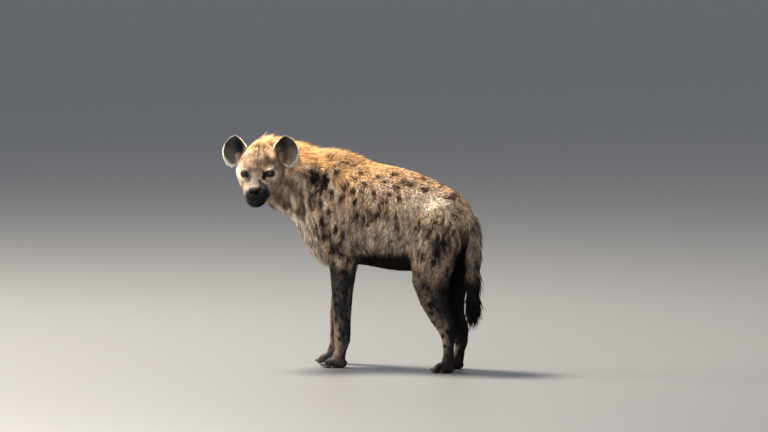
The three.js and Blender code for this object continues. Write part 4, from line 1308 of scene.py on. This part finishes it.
# Where no hair grows, in mm in the head's frame: round the eyes and the nose, and along the lips.
EYE_BARE = 17.2
EYES_FRONT = -40
NOSE_MIDDLE = (113, 0, -27)
NOSE_BARE = (17, 25, 19)
LIP_ALONG, LIP_UP = (14, 50, 80, 106), (-77, -76, -71, -63)
LIP_BARE = 4
LIP_BOX = (8, 130, 60)  # from, to and half across
PAD_TOP = 24 * MM
PAD_FACING = -0.45
SOLE_TOP = 3 * MM
random = np.random.default_rng(COAT_SEED)


def blended(kinds, column):
    return sum(share * LOCK[kind][column] for kind, share in kinds.items())


def unit(vectors):
    return vectors / np.maximum(np.linalg.norm(vectors, axis=1, keepdims=True), 1e-9)


def hairy_places(places, normals):
    """Whether hair grows at some places: not on eye openings, nose, lips, pads and soles."""
    x, y, z = (into_head(places) / MM).T
    side = np.abs(y)
    from_eye = np.sqrt((x - EYE_MM[0]) ** 2 + (side - EYE_MM[1]) ** 2 + (z - EYE_MM[2]) ** 2)
    from_nose = sum(((at - middle) / half) ** 2 for at, middle, half in zip((x, y, z), NOSE_MIDDLE, NOSE_BARE))
    on_lips = (np.abs(z - np.interp(x, LIP_ALONG, LIP_UP)) < LIP_BARE) & (side < LIP_BOX[2])
    on_lips = on_lips & (x > LIP_BOX[0]) & (x < LIP_BOX[1])
    on_pad = (places[:, 2] < PAD_TOP) & (normals[:, 2] < PAD_FACING)
    open_eye = (from_eye <= EYE_BARE) & (x >= EYES_FRONT)
    return ~open_eye & ~(from_nose < 1) & ~on_lips & ~on_pad & (places[:, 2] > SOLE_TOP)


# The ways that hair lies on each part of the body, in the row frame.
SPINE_WAY = np.array([0, 1, -0.12])
FLANK_WAY = np.array([0, 0.10, -1])
RUMP_WAY = np.array([0, 0.55, -0.85])
BELLY_WAY = np.array([0, 1, -0.2])
STERN_WAY = np.array([0, 0.1, -1])
NECK_WAY = np.array([-0.38, 0.75, -0.5])
THROAT_WAY = np.array([0, 0, -0.9])
TAIL_WAY = np.array([0, 0.06, -1])
LEG_WAYS = {
    "upper": np.array([0, 0.16, -1]),
    "lower": TAIL_WAY,
    "paw": np.array([0, -0.8, -0.6]),
    "tail": TAIL_WAY,
    "brush": TAIL_WAY,
}
EAR_BASE = (-82.0, 69, 4.0)  # in mm in the head's frame: the ear's hair runs out from there
RUMP_FROM = (120 * MM, 300 * MM)  # behind the origin
STERN_FROM = (300 * MM, 350 * MM)


def turning(way, to, share):
    """A way that gives way to another."""
    return way * (1 - share) + to * share


def lie(places, normals, kinds):
    """The way the hair lies at some places, before it is laid on the skin."""
    behind = (places - ORIGIN)[:, 1]
    top = ease(normals[:, 2], 0.2, 0.85)[:, None]
    below = ease(-normals[:, 2], 0.5, 0.9)[:, None]
    flank = turning(FLANK_WAY, RUMP_WAY, ease(behind, *RUMP_FROM)[:, None])
    trunk = turning(turning(flank, SPINE_WAY, top), BELLY_WAY, below)
    x, y, z = in_face = (into_head(places) / MM).T
    hand = np.sign(y)
    cheek = ease(np.abs(y), 24, 60) * (1 - ease(z, -20, 24))
    head = np.stack([-1 + 0.3 * cheek, hand * (0.25 + 0.1 * cheek), -0.75 * cheek + 0.12 * (1 - cheek)], 1)
    from_base = in_face.T - np.stack([np.ones(len(x)), hand, np.ones(len(x))], 1) * EAR_BASE
    ways = {
        "trunk": turning(trunk, STERN_WAY, ease(behind, *STERN_FROM)[:, None]),
        "neck": NECK_WAY * (0.28 + 0.8 * top) + THROAT_WAY * (1 - top),
        "head": head @ HEAD_AXES,
        "ear": unit(from_base * [0.3, 1, 1]) @ HEAD_AXES,
        **LEG_WAYS,
    }
    return sum(ways[kind] * share[:, None] for kind, share in kinds.items())


# An unwrap of the skin, for the patches of the coat's UV map.
PATCH = 0.003
PATCH_RIDGE = -0.12  # where the ridge of a lock is on its patch
UNWRAP_EDGE = 0.01
EAR_HALVES = (0.48, 0.51)  # how wide each side of an ear is, and where its back starts
BENDS = 12
NECK_ALONG = np.array([0.4, -0.9, 0.2])
NECK_ACROSS = np.array([0.9, 0.45, 0])
NECK_OVER = np.array([0, 0.4, 0.9])


def wound(across, over, along):
    """Places about a long part, as the angle round its bent middle and the way along it."""
    bins = np.linspace(along.min(), along.max(), BENDS + 1)
    which = np.clip(np.digitize(along, bins) - 1, 0, BENDS - 1)
    middles = (bins[1:] + bins[:-1]) / 2
    kept = [i for i in range(BENDS) if (which == i).any()]
    centre_across, centre_over = (
        np.interp(along, middles[kept], [values[which == i].mean() for i in kept])
        for values in (across, over)
    )
    return np.arctan2(across - centre_across, over - centre_over), along


def spread_out(values):
    low, high = values.min(), values.max()
    return UNWRAP_EDGE + (1 - 2 * UNWRAP_EDGE) * (values - low) / (high - low)


def unwrapped(piece, places, normals):
    """Where each root lies on an unwrap of the skin of its own piece."""
    x, y, z = places.T
    face_x, face_y, face_z = into_head(places).T
    if piece.endswith("_ear"):
        is_back = normals @ HEAD_AXES[0] <= 0
        return spread_out(face_y) * EAR_HALVES[0] + EAR_HALVES[1] * is_back, spread_out(face_z)
    if "head" in piece or "crown" in piece:
        around, along = wound(face_y, face_z, face_x)
    elif "neck" in piece:
        around, along = wound(places @ NECK_ACROSS, places @ NECK_OVER, places @ NECK_ALONG)
    else:
        around, along = wound(x, y, z)
    return spread_out(around), spread_out(along)


# A lock: a triangle drawn along a bent path, which tapers to its tip.
ROOTED = 0.3 * MM  # how deep a lock starts under the skin, and
ROOTED_SHARE = 0.03  # how much deeper for its length
PLUMP = 0.34  # a lock's thickness for its width
PROFILES = {1: (1.0,), 2: (0.72, 1.0), 3: (0.66, 1.0, 0.7)}
CURL = 0.13
BEND = 1.75  # how much steeper it leaves the skin than it lies
SIDES = ((0, 1), (1, 2), (2, 0))


def lock_mesh(piece, roots, normals, ways, lengths, widths, lifts, segments):
    """Closed tapering locks as one mesh, each with its own patch on the unwrap."""
    count = len(roots)
    sideways = unit(np.cross(normals, ways))
    point = roots - normals * (ROOTED + lengths * ROOTED_SHARE)[:, None]
    rings = []
    curl = random.normal(0, CURL, count)[:, None]
    for k in range(segments):
        share = (k + 0.5) / segments
        angle = (lifts * (BEND - BEND * share))[:, None]
        heading = unit(ways * np.cos(angle) + normals * np.sin(angle) + sideways * curl * share)
        half = (widths * PROFILES[segments][k] / 2)[:, None]
        over = unit(np.cross(heading, sideways))
        sides = [point - sideways * half, point + sideways * half, point + over * half * 2 * PLUMP]
        rings.append(np.stack(sides, 1))
        point = point + heading * (lengths / segments)[:, None]
    per_lock = 3 * segments + 1
    places = np.concatenate([*rings, point[:, None]], 1).reshape(-1, 3)
    faces = [(0, 2, 1)]
    for low in range(0, per_lock - 4, 3):
        for a, b in SIDES:
            faces += [(low + a, low + b, low + 3 + b), (low + a, low + 3 + b, low + 3 + a)]
    faces += [(per_lock - 4 + a, per_lock - 4 + b, per_lock - 1) for a, b in SIDES]
    triangles = (np.arange(count)[:, None, None] * per_lock + np.array(faces)[None]).reshape(-1, 3)
    ring = ((-0.5, 0), (0.5, 0), (0, PATCH_RIDGE))
    patch = np.array([(s, a + k / segments) for k in range(segments) for s, a in ring] + [(0, 1)]) * PATCH
    spots = np.stack(unwrapped(piece, roots, normals), 1) * (1 - 3 * PATCH) + 1.5 * PATCH
    unwrap = (spots[:, None, :] + patch[None]).reshape(-1, 2)
    grown = np.tile([k / segments for k in range(segments) for _ in range(3)] + [1.0], count)
    return places, triangles, unwrap, grown, per_lock


hair_finishes = {}


def hair_finish(name, root_dark, tip_light):
    """Hair of the hide's own colours, darker at the root, each lock a shade of its own."""
    if name not in hair_finishes:
        made = Finish(name, 0.62, Specular_IOR_Level=0.09)
        along = made.mark("grown")
        shade = (root_dark + along * (tip_light - root_dark)) * (0.40 + made.mark("shade") * 1.2)
        made.set("Base Color", made.lightened(hide_colour(made, made.places()), shade))
        made.set("Roughness", 0.66 - along * 0.16)
        hair_finishes[name] = made.material
    return hair_finishes[name]


TRUNK_SPLIT = 30 * MM  # behind the origin
NECK_SPLIT = -390 * MM
CROWN_BOX = (-56, 30, 62)  # the crown is behind, above and between these, in mm in the head's frame


def piece_names(apart_here, places):
    """The coat piece that each place belongs to, as a number, and the pieces' names."""
    names = list(apart_here)
    nearest = np.argmin(np.stack([apart_here[name] for name in names]), axis=0)
    out, behind, _ = (places - ORIGIN).T
    x, y, z = (into_head(places) / MM).T
    is_crown = (x < CROWN_BOX[0]) & (z > CROWN_BOX[1]) & (np.abs(y) < CROWN_BOX[2])
    pieces = []
    which = np.zeros(len(places), int)
    for i, name in enumerate(names):
        if name == "trunk":
            masks = {
                f"{side}_{end}": (out * hand >= 0) & of_end
                for side, hand in (("left", 1), ("right", -1))
                for end, of_end in (("front", behind < TRUNK_SPLIT), ("rear", behind >= TRUNK_SPLIT))
            }
        elif name == "neck":
            masks = {"neck_front": behind < NECK_SPLIT, "neck_rear": behind >= NECK_SPLIT}
        elif name in ("head", "lower_jaw"):
            masks = {"crown": is_crown, "head": ~is_crown}
        elif name in KIND:
            masks = {name: True}
        else:
            leg, part = name.rsplit("_", 1)
            masks = {f"{leg}_{'upper' if KIND[part] == 'upper' else 'lower'}": True}
        for label, mask in masks.items():
            if f"coat_{label}" not in pieces:
                pieces.append(f"coat_{label}")
            which[(nearest == i) & mask] = pieces.index(f"coat_{label}")
    return which, pieces


SEGMENTS = {
    "neck": 2,
    "crown": 2,
    "head": 1,
    "ear": 1,
    "upper": 2,
    "lower": 1,
    "tail": 3,
    "front": 2,
    "rear": 2,
}
HAIR = {  # how dark the root is and how light the tip, for the hide's own colour there
    "head": ("face_hair", 0.82, 1.12),
    "ear": ("ear_hair", 0.8, 1.1),
    "neck": ("mane_hair", 0.62, 1.65),
    "crown": ("crown_hair", 0.5, 1.1),
    "lower": ("leg_hair", 0.75, 1.2),
    "brush": ("brush_hair", 0.7, 1.1),
}
BODY_HAIR = ("hair", 0.72, 1.15)
SLOTS = {
    "neck": "mane",
    "crown": "mane",
    "head": "face",
    "ear": "ear",
    "lower": "dark_coat",
    "brush": "brush",
}

corners = skin_places[skin_triangles]
areas = np.linalg.norm(np.cross(corners[:, 1] - corners[:, 0], corners[:, 2] - corners[:, 0]), axis=1) / 2
centres = corners.mean(axis=1)
face_normals = unit(skin_normals[skin_triangles].mean(axis=1))
face_kinds = {kind: share[skin_triangles].mean(axis=1) for kind, share in skin_kinds.items()}
face_apart = {name: far[skin_triangles].mean(axis=1) for name, far in skin_apart.items()}
wanted = np.cumsum(areas * (blended(face_kinds, DENSE) * hairy_places(centres, face_normals)))
count = int(wanted[-1])
picks = np.minimum(np.searchsorted(wanted, np.arange(count) + random.random(count)), len(areas) - 1)
first, second = random.random(count), random.random(count)
folded = first + second > 1
first[folded], second[folded] = 1 - first[folded], 1 - second[folded]
parts = np.stack([1 - first - second, first, second], 1)[:, :, None]
roots = (corners[picks] * parts).sum(axis=1)
root_normals = unit((skin_normals[skin_triangles[picks]] * parts).sum(axis=1))
root_kinds = {kind: share[picks] for kind, share in face_kinds.items()}

# Where the hair is longer or shorter, and stands up more: how much it adds to both, in mm and degrees.
GROWTH = {
    "mane": (30, 24),
    "crown": (27, 34),
    "cheek": (9, 8),
    "muzzle": (-4, 0),
    "belly": (-10, 0),
    "chest": (13, 16),
}
MANE_UP = (WITHERS - 110 * MM, WITHERS - 10 * MM)
MANE_ENDS = (SHOULDER_Y, SHOULDER_Y + 230 * MM)
SHORT_BY_EYE = (17, 34)
BRUSH_SPARE = 14
waves = np.random.default_rng(5)
face_x, face_y, face_z = (into_head(roots) / MM).T
on_mane = ease(roots[:, 2], *MANE_UP) * ease(root_normals[:, 2], 0.1, 0.7)
on_crown = root_kinds["head"] * ease(-face_x, 24, 70) * ease(face_z, 30, 60)
grows = {
    "mane": on_mane * (root_kinds["neck"] + root_kinds["trunk"] * (1 - ease(roots[:, 1], *MANE_ENDS))),
    "crown": on_crown * (1 - 0.9 * ease(np.abs(face_y), 6, 50)),
    "cheek": root_kinds["head"] * ease(-face_x, 0, 60) * (1 - ease(face_z, -10, 30)),
    "muzzle": root_kinds["head"] * ease(face_x, 30, 70),
    "belly": root_kinds["trunk"] * ease(-root_normals[:, 2], 0.3, 0.8),
    "chest": root_kinds["neck"] * ease(root_normals @ CHEST_WAY, 0.3, 0.8),
}
from_eye = np.minimum(*[
    np.linalg.norm(into_head(roots) / MM - EYE_AT / MM * [1, hand, 1], axis=1) for hand in (1, -1)
])
lengths = blended(root_kinds, LONG) * (0.5 + 0.5 * ease(from_eye, *SHORT_BY_EYE))
lifts = blended(root_kinds, LIFTED)
for where, (longer, lifted) in GROWTH.items():
    lengths = lengths + longer * grows[where]
    lifts = lifts + lifted * grows[where]
hanging = root_kinds["brush"] > 0.5
to_tip = (roots[:, 2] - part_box("tail_brush")[0].z) / MM * 0.9 + BRUSH_SPARE
lengths = np.where(hanging, np.minimum(lengths, to_tip), lengths)
lengths = lengths * random.uniform(0.7, 1.2, count) * MM
lengths = np.where(hanging, lengths * random.uniform(0.7, 1.05, count), lengths)
lifts = np.radians(lifts * random.uniform(0.5, 1.5, count))
widths = blended(root_kinds, WIDE) * random.uniform(0.75, 1.25, count) * MM

# The lie wanders in two sizes of wave and from lock to lock. No lock reaches the floor.
WANDER = ((0.26, 45 * MM), (0.12, 16 * MM))
WANDER_LOCK = 0.06
CLEAR = 1.5 * MM
SHORTEST = 2 * MM
END_SHARES = (0.25, 0.9)  # how far along a lock its marks are read, near its root and near its tip
RAGGED = 0.26  # how much a spot's edge is broken up
ways = unit(lie(roots, root_normals, root_kinds))
for axis in range(3):
    drift = sum(much * ripple(waves, roots, length) for much, length in WANDER)
    ways[:, axis] += drift + random.normal(0, WANDER_LOCK, count)
ways = unit(ways - root_normals * np.einsum("ij,ij->i", ways, root_normals)[:, None])
fall = np.maximum(-ways[:, 2], 0.05)
lengths = np.minimum(lengths, np.maximum((roots[:, 2] - CLEAR) / fall, SHORTEST))
ragged = RAGGED * random.random(count) * (1 - root_kinds["brush"])
leaning = ways * np.cos(lifts)[:, None] + root_normals * np.sin(lifts)[:, None]
end_marks = [
    markings(roots + leaning * (lengths * far)[:, None], root_normals, root_kinds) for far in END_SHARES
]
for marks in end_marks:
    marks["spot"] = np.clip(marks["spot"] * 1.08 - ragged, 0, 1)
    marks["umber"] = np.clip(marks["umber"] - 0.6 * ragged, 0, 1)
clump = drawn_ripple(waves, roots, root_normals, 14 * MM)
shade = np.clip(0.5 + 0.20 * clump + random.normal(0, 0.07, count), 0, 1)

which, pieces = piece_names({name: far[picks] for name, far in face_apart.items()}, roots)
for number, piece in enumerate(pieces):
    ours = np.flatnonzero(which == number)
    words = piece.split("_")
    segments = next(SEGMENTS[word] for word in SEGMENTS if word in words)
    slot_word = next((word for word in SLOTS if word in words), None)
    of_lock = [values[ours] for values in (roots, root_normals, ways, lengths, widths, lifts)]
    places, triangles, unwrap, grown, per_lock = lock_mesh(piece, *of_lock, segments)
    coat = new_mesh(piece, places, triangles)
    layer = coat.data.uv_layers.new(name="OFBake")
    layer.data.foreach_set("uv", unwrap[triangles.ravel()].astype(np.float32).ravel())
    for mark in marks:
        near_root, near_tip = (np.repeat(ends[mark][ours], per_lock) for ends in end_marks)
        give(coat.data, mark, near_root + (near_tip - near_root) * grown)
    give(coat.data, "shade", np.repeat(shade[ours], per_lock))
    give(coat.data, "grown", grown)
    coat.data.materials.append(hair_finish(*HAIR.get(slot_word, BODY_HAIR)))
    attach(coat, "root")


# WHISKERS AND LASHES
# Stiff black hairs: short whiskers in rows on the lips that sweep back, a few over each eye, and the fine
# lashes of the upper lids. Each is one tapering bristle, and all of a kind are set out by one modifier.
BEND_STEPS = 7
ROUND_SIDES = 5
BRISTLE_TIP = 0.12  # how thick its tip is, for its root
BRISTLE_SIZES = (0.65, 1.1)


def bristles(name, roots, ways, length, thickness, droop, seed):
    """One piece of tapering bristles, which a modifier sets on points that carry the way each one leans."""
    mesh = bpy.data.meshes.new(name)
    mesh.from_pydata([tuple(map(float, root)) for root in roots], [], [])
    give(mesh, "way", ways, kind="FLOAT_VECTOR")
    piece = bpy.data.objects.new(name, mesh)
    bpy.context.scene.collection.objects.link(piece)

    tree = bpy.data.node_groups.new(name, "GeometryNodeTree")
    values = {
        "Length": ("NodeSocketFloat", length),
        "Thickness": ("NodeSocketFloat", thickness),
        "Droop": ("NodeSocketFloat", droop),
        "Seed": ("NodeSocketInt", seed),
        "Material": ("NodeSocketMaterial", bristle_finish.material),
    }
    tree.interface.new_socket("Geometry", in_out="INPUT", socket_type="NodeSocketGeometry")
    sockets = {
        label: tree.interface.new_socket(label, in_out="INPUT", socket_type=kind)
        for label, (kind, _) in values.items()
    }
    tree.interface.new_socket("Geometry", in_out="OUTPUT", socket_type="NodeSocketGeometry")
    given = add_node(tree, "NodeGroupInput", {}).outputs

    # One bristle, drawn along Z and bent a little, then given its thickness, which tapers to the tip.
    half = add_node(tree, "ShaderNodeMath", {"operation": "MULTIPLY"}, given["Length"], 0.5)
    middle = add_node(tree, "ShaderNodeCombineXYZ", {}, Z=half.outputs[0])
    end = add_node(tree, "ShaderNodeCombineXYZ", {}, X=given["Droop"], Z=given["Length"])
    path = add_node(
        tree,
        "GeometryNodeCurveQuadraticBezier",
        {},
        Resolution=BEND_STEPS,
        Start=(0.0, 0.0, 0.0),
        Middle=middle.outputs[0],
        End=end.outputs[0],
    )
    along = add_node(tree, "GeometryNodeSplineParameter", {}).outputs["Factor"]
    taper = add_node(tree, "ShaderNodeMapRange", {}, along, 0.0, 1.0, 1.0, BRISTLE_TIP)
    round_profile = add_node(
        tree,
        "GeometryNodeCurvePrimitiveCircle",
        {"mode": "RADIUS"},
        Resolution=ROUND_SIDES,
        Radius=given["Thickness"],
    )
    tube = add_node(
        tree,
        "GeometryNodeCurveToMesh",
        {},
        Curve=path.outputs["Curve"],
        Profile_Curve=round_profile.outputs["Curve"],
        Scale=taper.outputs[0],
        Fill_Caps=True,
    )
    leaning = add_node(tree, "GeometryNodeInputNamedAttribute", {"data_type": "FLOAT_VECTOR"}, Name="way")
    turned = add_node(
        tree, "FunctionNodeAlignRotationToVector", {"axis": "Z"}, Vector=leaning.outputs["Attribute"]
    )
    size = add_node(
        tree,
        "FunctionNodeRandomValue",
        {"data_type": "FLOAT"},
        None,
        None,
        *BRISTLE_SIZES,
        Seed=given["Seed"],
    )
    set_out = add_node(
        tree,
        "GeometryNodeInstanceOnPoints",
        {},
        Points=given["Geometry"],
        Instance=tube.outputs[0],
        Rotation=turned.outputs[0],
        Scale=size.outputs[1],
    )
    real = add_node(tree, "GeometryNodeRealizeInstances", {}, Geometry=set_out.outputs[0])
    coloured = add_node(
        tree, "GeometryNodeSetMaterial", {}, Geometry=real.outputs[0], Material=given["Material"]
    )
    add_node(tree, "NodeGroupOutput", {}, coloured.outputs[0])

    modifier = piece.modifiers.new("bristles", "NODES")
    modifier.node_group = tree
    for label, (_, value) in values.items():
        modifier[sockets[label].identifier] = value
    settled(piece)
    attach(piece, "root")


def on_skin(points):
    """The nearest places on the skin to some points of the head, and the skin's normals there."""
    found = [skin_tree.find_nearest(Vector(point)) for point in out_of_head(np.array(points) * MM)]
    return np.array([place for place, *_ in found]), np.array([normal for _, normal, *_ in found])


STRIPE_SCALE = 600.0
BRISTLE_DARK = (0.006, 0.005, 0.005)
BRISTLE_LIGHT = (0.030, 0.024, 0.020)
skin_tree = BVHTree.FromPolygons(skin_places.tolist(), skin_triangles.tolist())
bristle_finish = Finish("bristle", 0.4, Specular_IOR_Level=0.3)
stripes = bristle_finish.noise(bristle_finish.places(), STRIPE_SCALE, 2.0)
bristle_finish.set("Base Color", bristle_finish.mixed(BRISTLE_DARK, BRISTLE_LIGHT, stripes))

# Where whiskers are rooted, in mm in the head's frame.
WHISKER_ROWS = ((96, -36), (90, -44), (84, -52), (98, -52))  # along and up the head, the front of each row
WHISKERS_IN_ROW = 5
WHISKER_STEP = (9, 1.5)  # back and up from one to the next
MUZZLE_SIDE = 60
BROW_HAIRS = ((6, 50, 34), (0, 46, 35), (10, 44, 34))
WHISKER = {"length": 30 * MM, "thickness": 0.3 * MM, "droop": 5 * MM, "seed": 3}
WHISKER_ROOTED = 0.6 * MM
WHISKER_SPREAD = 0.12
SWEPT = np.array([-0.75, 0, -0.25]) @ HEAD_AXES
whisker_roots = [
    (ahead - WHISKER_STEP[0] * step, hand * MUZZLE_SIDE, height + WHISKER_STEP[1] * step)
    for ahead, height in WHISKER_ROWS
    for step in range(WHISKERS_IN_ROW)
    for hand in (1, -1)
]
whisker_roots += [(x, hand * y, z) for x, y, z in BROW_HAIRS for hand in (1, -1)]
whisker_at, whisker_out = on_skin(whisker_roots)
whisker_ways = unit(whisker_out + SWEPT + random.normal(0, WHISKER_SPREAD, whisker_out.shape))
bristles("whiskers", whisker_at - whisker_out * WHISKER_ROOTED, whisker_ways, **WHISKER)

LASHES = 15
LASH = {"length": 8 * MM, "thickness": 0.28 * MM, "droop": 1.5 * MM, "seed": 4}
LASH_ROOTED = 0.6  # how far out through the lid
LASH_OUT, LASH_UP, LASH_IN, LASH_FAN = 1.1, 0.35, -0.35, 0.3
lash_at = []
lash_ways = []
for hand in (1, -1):
    gaze, inward, upright = eye_axes(hand)
    for lash in range(LASHES):
        share = lash / (LASHES - 1) * 2 - 1
        height = OPENING_HIGH * (1 - share * share)
        lid = EYE_RADIUS + LID * LASH_ROOTED
        out = math.sqrt(max(lid**2 - (OPENING_WIDE * share) ** 2 - height**2, 0))
        lash_at.append(EYE_AT * [1, hand, 1] + inward * OPENING_WIDE * share + upright * height + gaze * out)
        way = gaze * LASH_OUT + upright * LASH_UP + inward * (LASH_IN + LASH_FAN * share)
        lash_ways.append(unit(way[None])[0])
bristles("lashes", out_of_head(np.array(lash_at)), np.array(lash_ways) @ HEAD_AXES, **LASH)


# THE FLOOR, THE LIGHT AND THE CAMERA
# A plain pale floor and soft studio light, strongest from above and ahead of the animal. The camera stands
# a long way off to the animal's left, where the photograph was taken.
FLOOR = 40.0
FLOOR_COLOUR = (0.10, 0.10, 0.099, 1)
floor_mesh = bpy.data.meshes.new("floor")
floor_corners = [(-FLOOR, -FLOOR, 0), (FLOOR, -FLOOR, 0), (FLOOR, FLOOR, 0), (-FLOOR, FLOOR, 0)]
floor_mesh.from_pydata(floor_corners, [], [(0, 1, 2, 3)])
floor = bpy.data.objects.new("floor", floor_mesh)
bpy.context.scene.collection.objects.link(floor)
pale = bpy.data.materials.new("pale_floor")
pale.use_nodes = True
pale.node_tree.nodes["Principled BSDF"].inputs["Base Color"].default_value = FLOOR_COLOUR
floor.data.materials.append(pale)

DISTANCE = 30.0
FARTHEST_SEEN = 200
shift_across = (PHOTO_WIDE / 2 - ORIGIN_ACROSS) / PHOTO_SCALE
shift_up = (ORIGIN_DOWN - PHOTO_HIGH / 2) / PHOTO_SCALE
aim = Vector(ORIGIN) + right * shift_across + up * shift_up
camera_data = bpy.data.cameras.new("camera")
camera_data.lens = PHOTO_SCALE * DISTANCE / PHOTO_WIDE * camera_data.sensor_width
camera_data.clip_end = FARTHEST_SEEN
camera = bpy.data.objects.new("camera", camera_data)
camera.location = aim + back * DISTANCE
camera.rotation_euler = (-back).to_track_quat("-Z", "Y").to_euler()
bpy.context.scene.collection.objects.link(camera)
bpy.context.scene.camera = camera

LIGHTS = {  # place and size in metres, then power in watts and colour
    "key_light": ((-0.8, -4.0, 7.4), 2.2, 3000, (1.0, 0.91, 0.79)),
    "front_fill": ((4.5, 1.0, 2.0), 3.2, 190, (0.94, 0.97, 1.0)),
    "low_fill": ((1.4, -6.2, 2.4), 3.0, 600, (1.0, 0.95, 0.88)),
}
LIT = Vector((0, 0, 0.5))
for name, (place, size, power, colour) in LIGHTS.items():
    light = bpy.data.lights.new(name, "AREA")
    light.energy = power
    light.size = size
    light.color = colour
    lamp = bpy.data.objects.new(name, light)
    lamp.location = place
    lamp.rotation_euler = (LIT - Vector(place)).to_track_quat("-Z", "Y").to_euler()
    bpy.context.scene.collection.objects.link(lamp)
SKY = (0.86, 0.91, 1.0, 1)
SKY_STRENGTH = 0.52
world = bpy.data.worlds.new("studio")
world.use_nodes = True
world.node_tree.nodes["Background"].inputs["Color"].default_value = SKY
world.node_tree.nodes["Background"].inputs["Strength"].default_value = SKY_STRENGTH
bpy.context.scene.view_settings.view_transform = "Standard"
bpy.context.scene.world = world
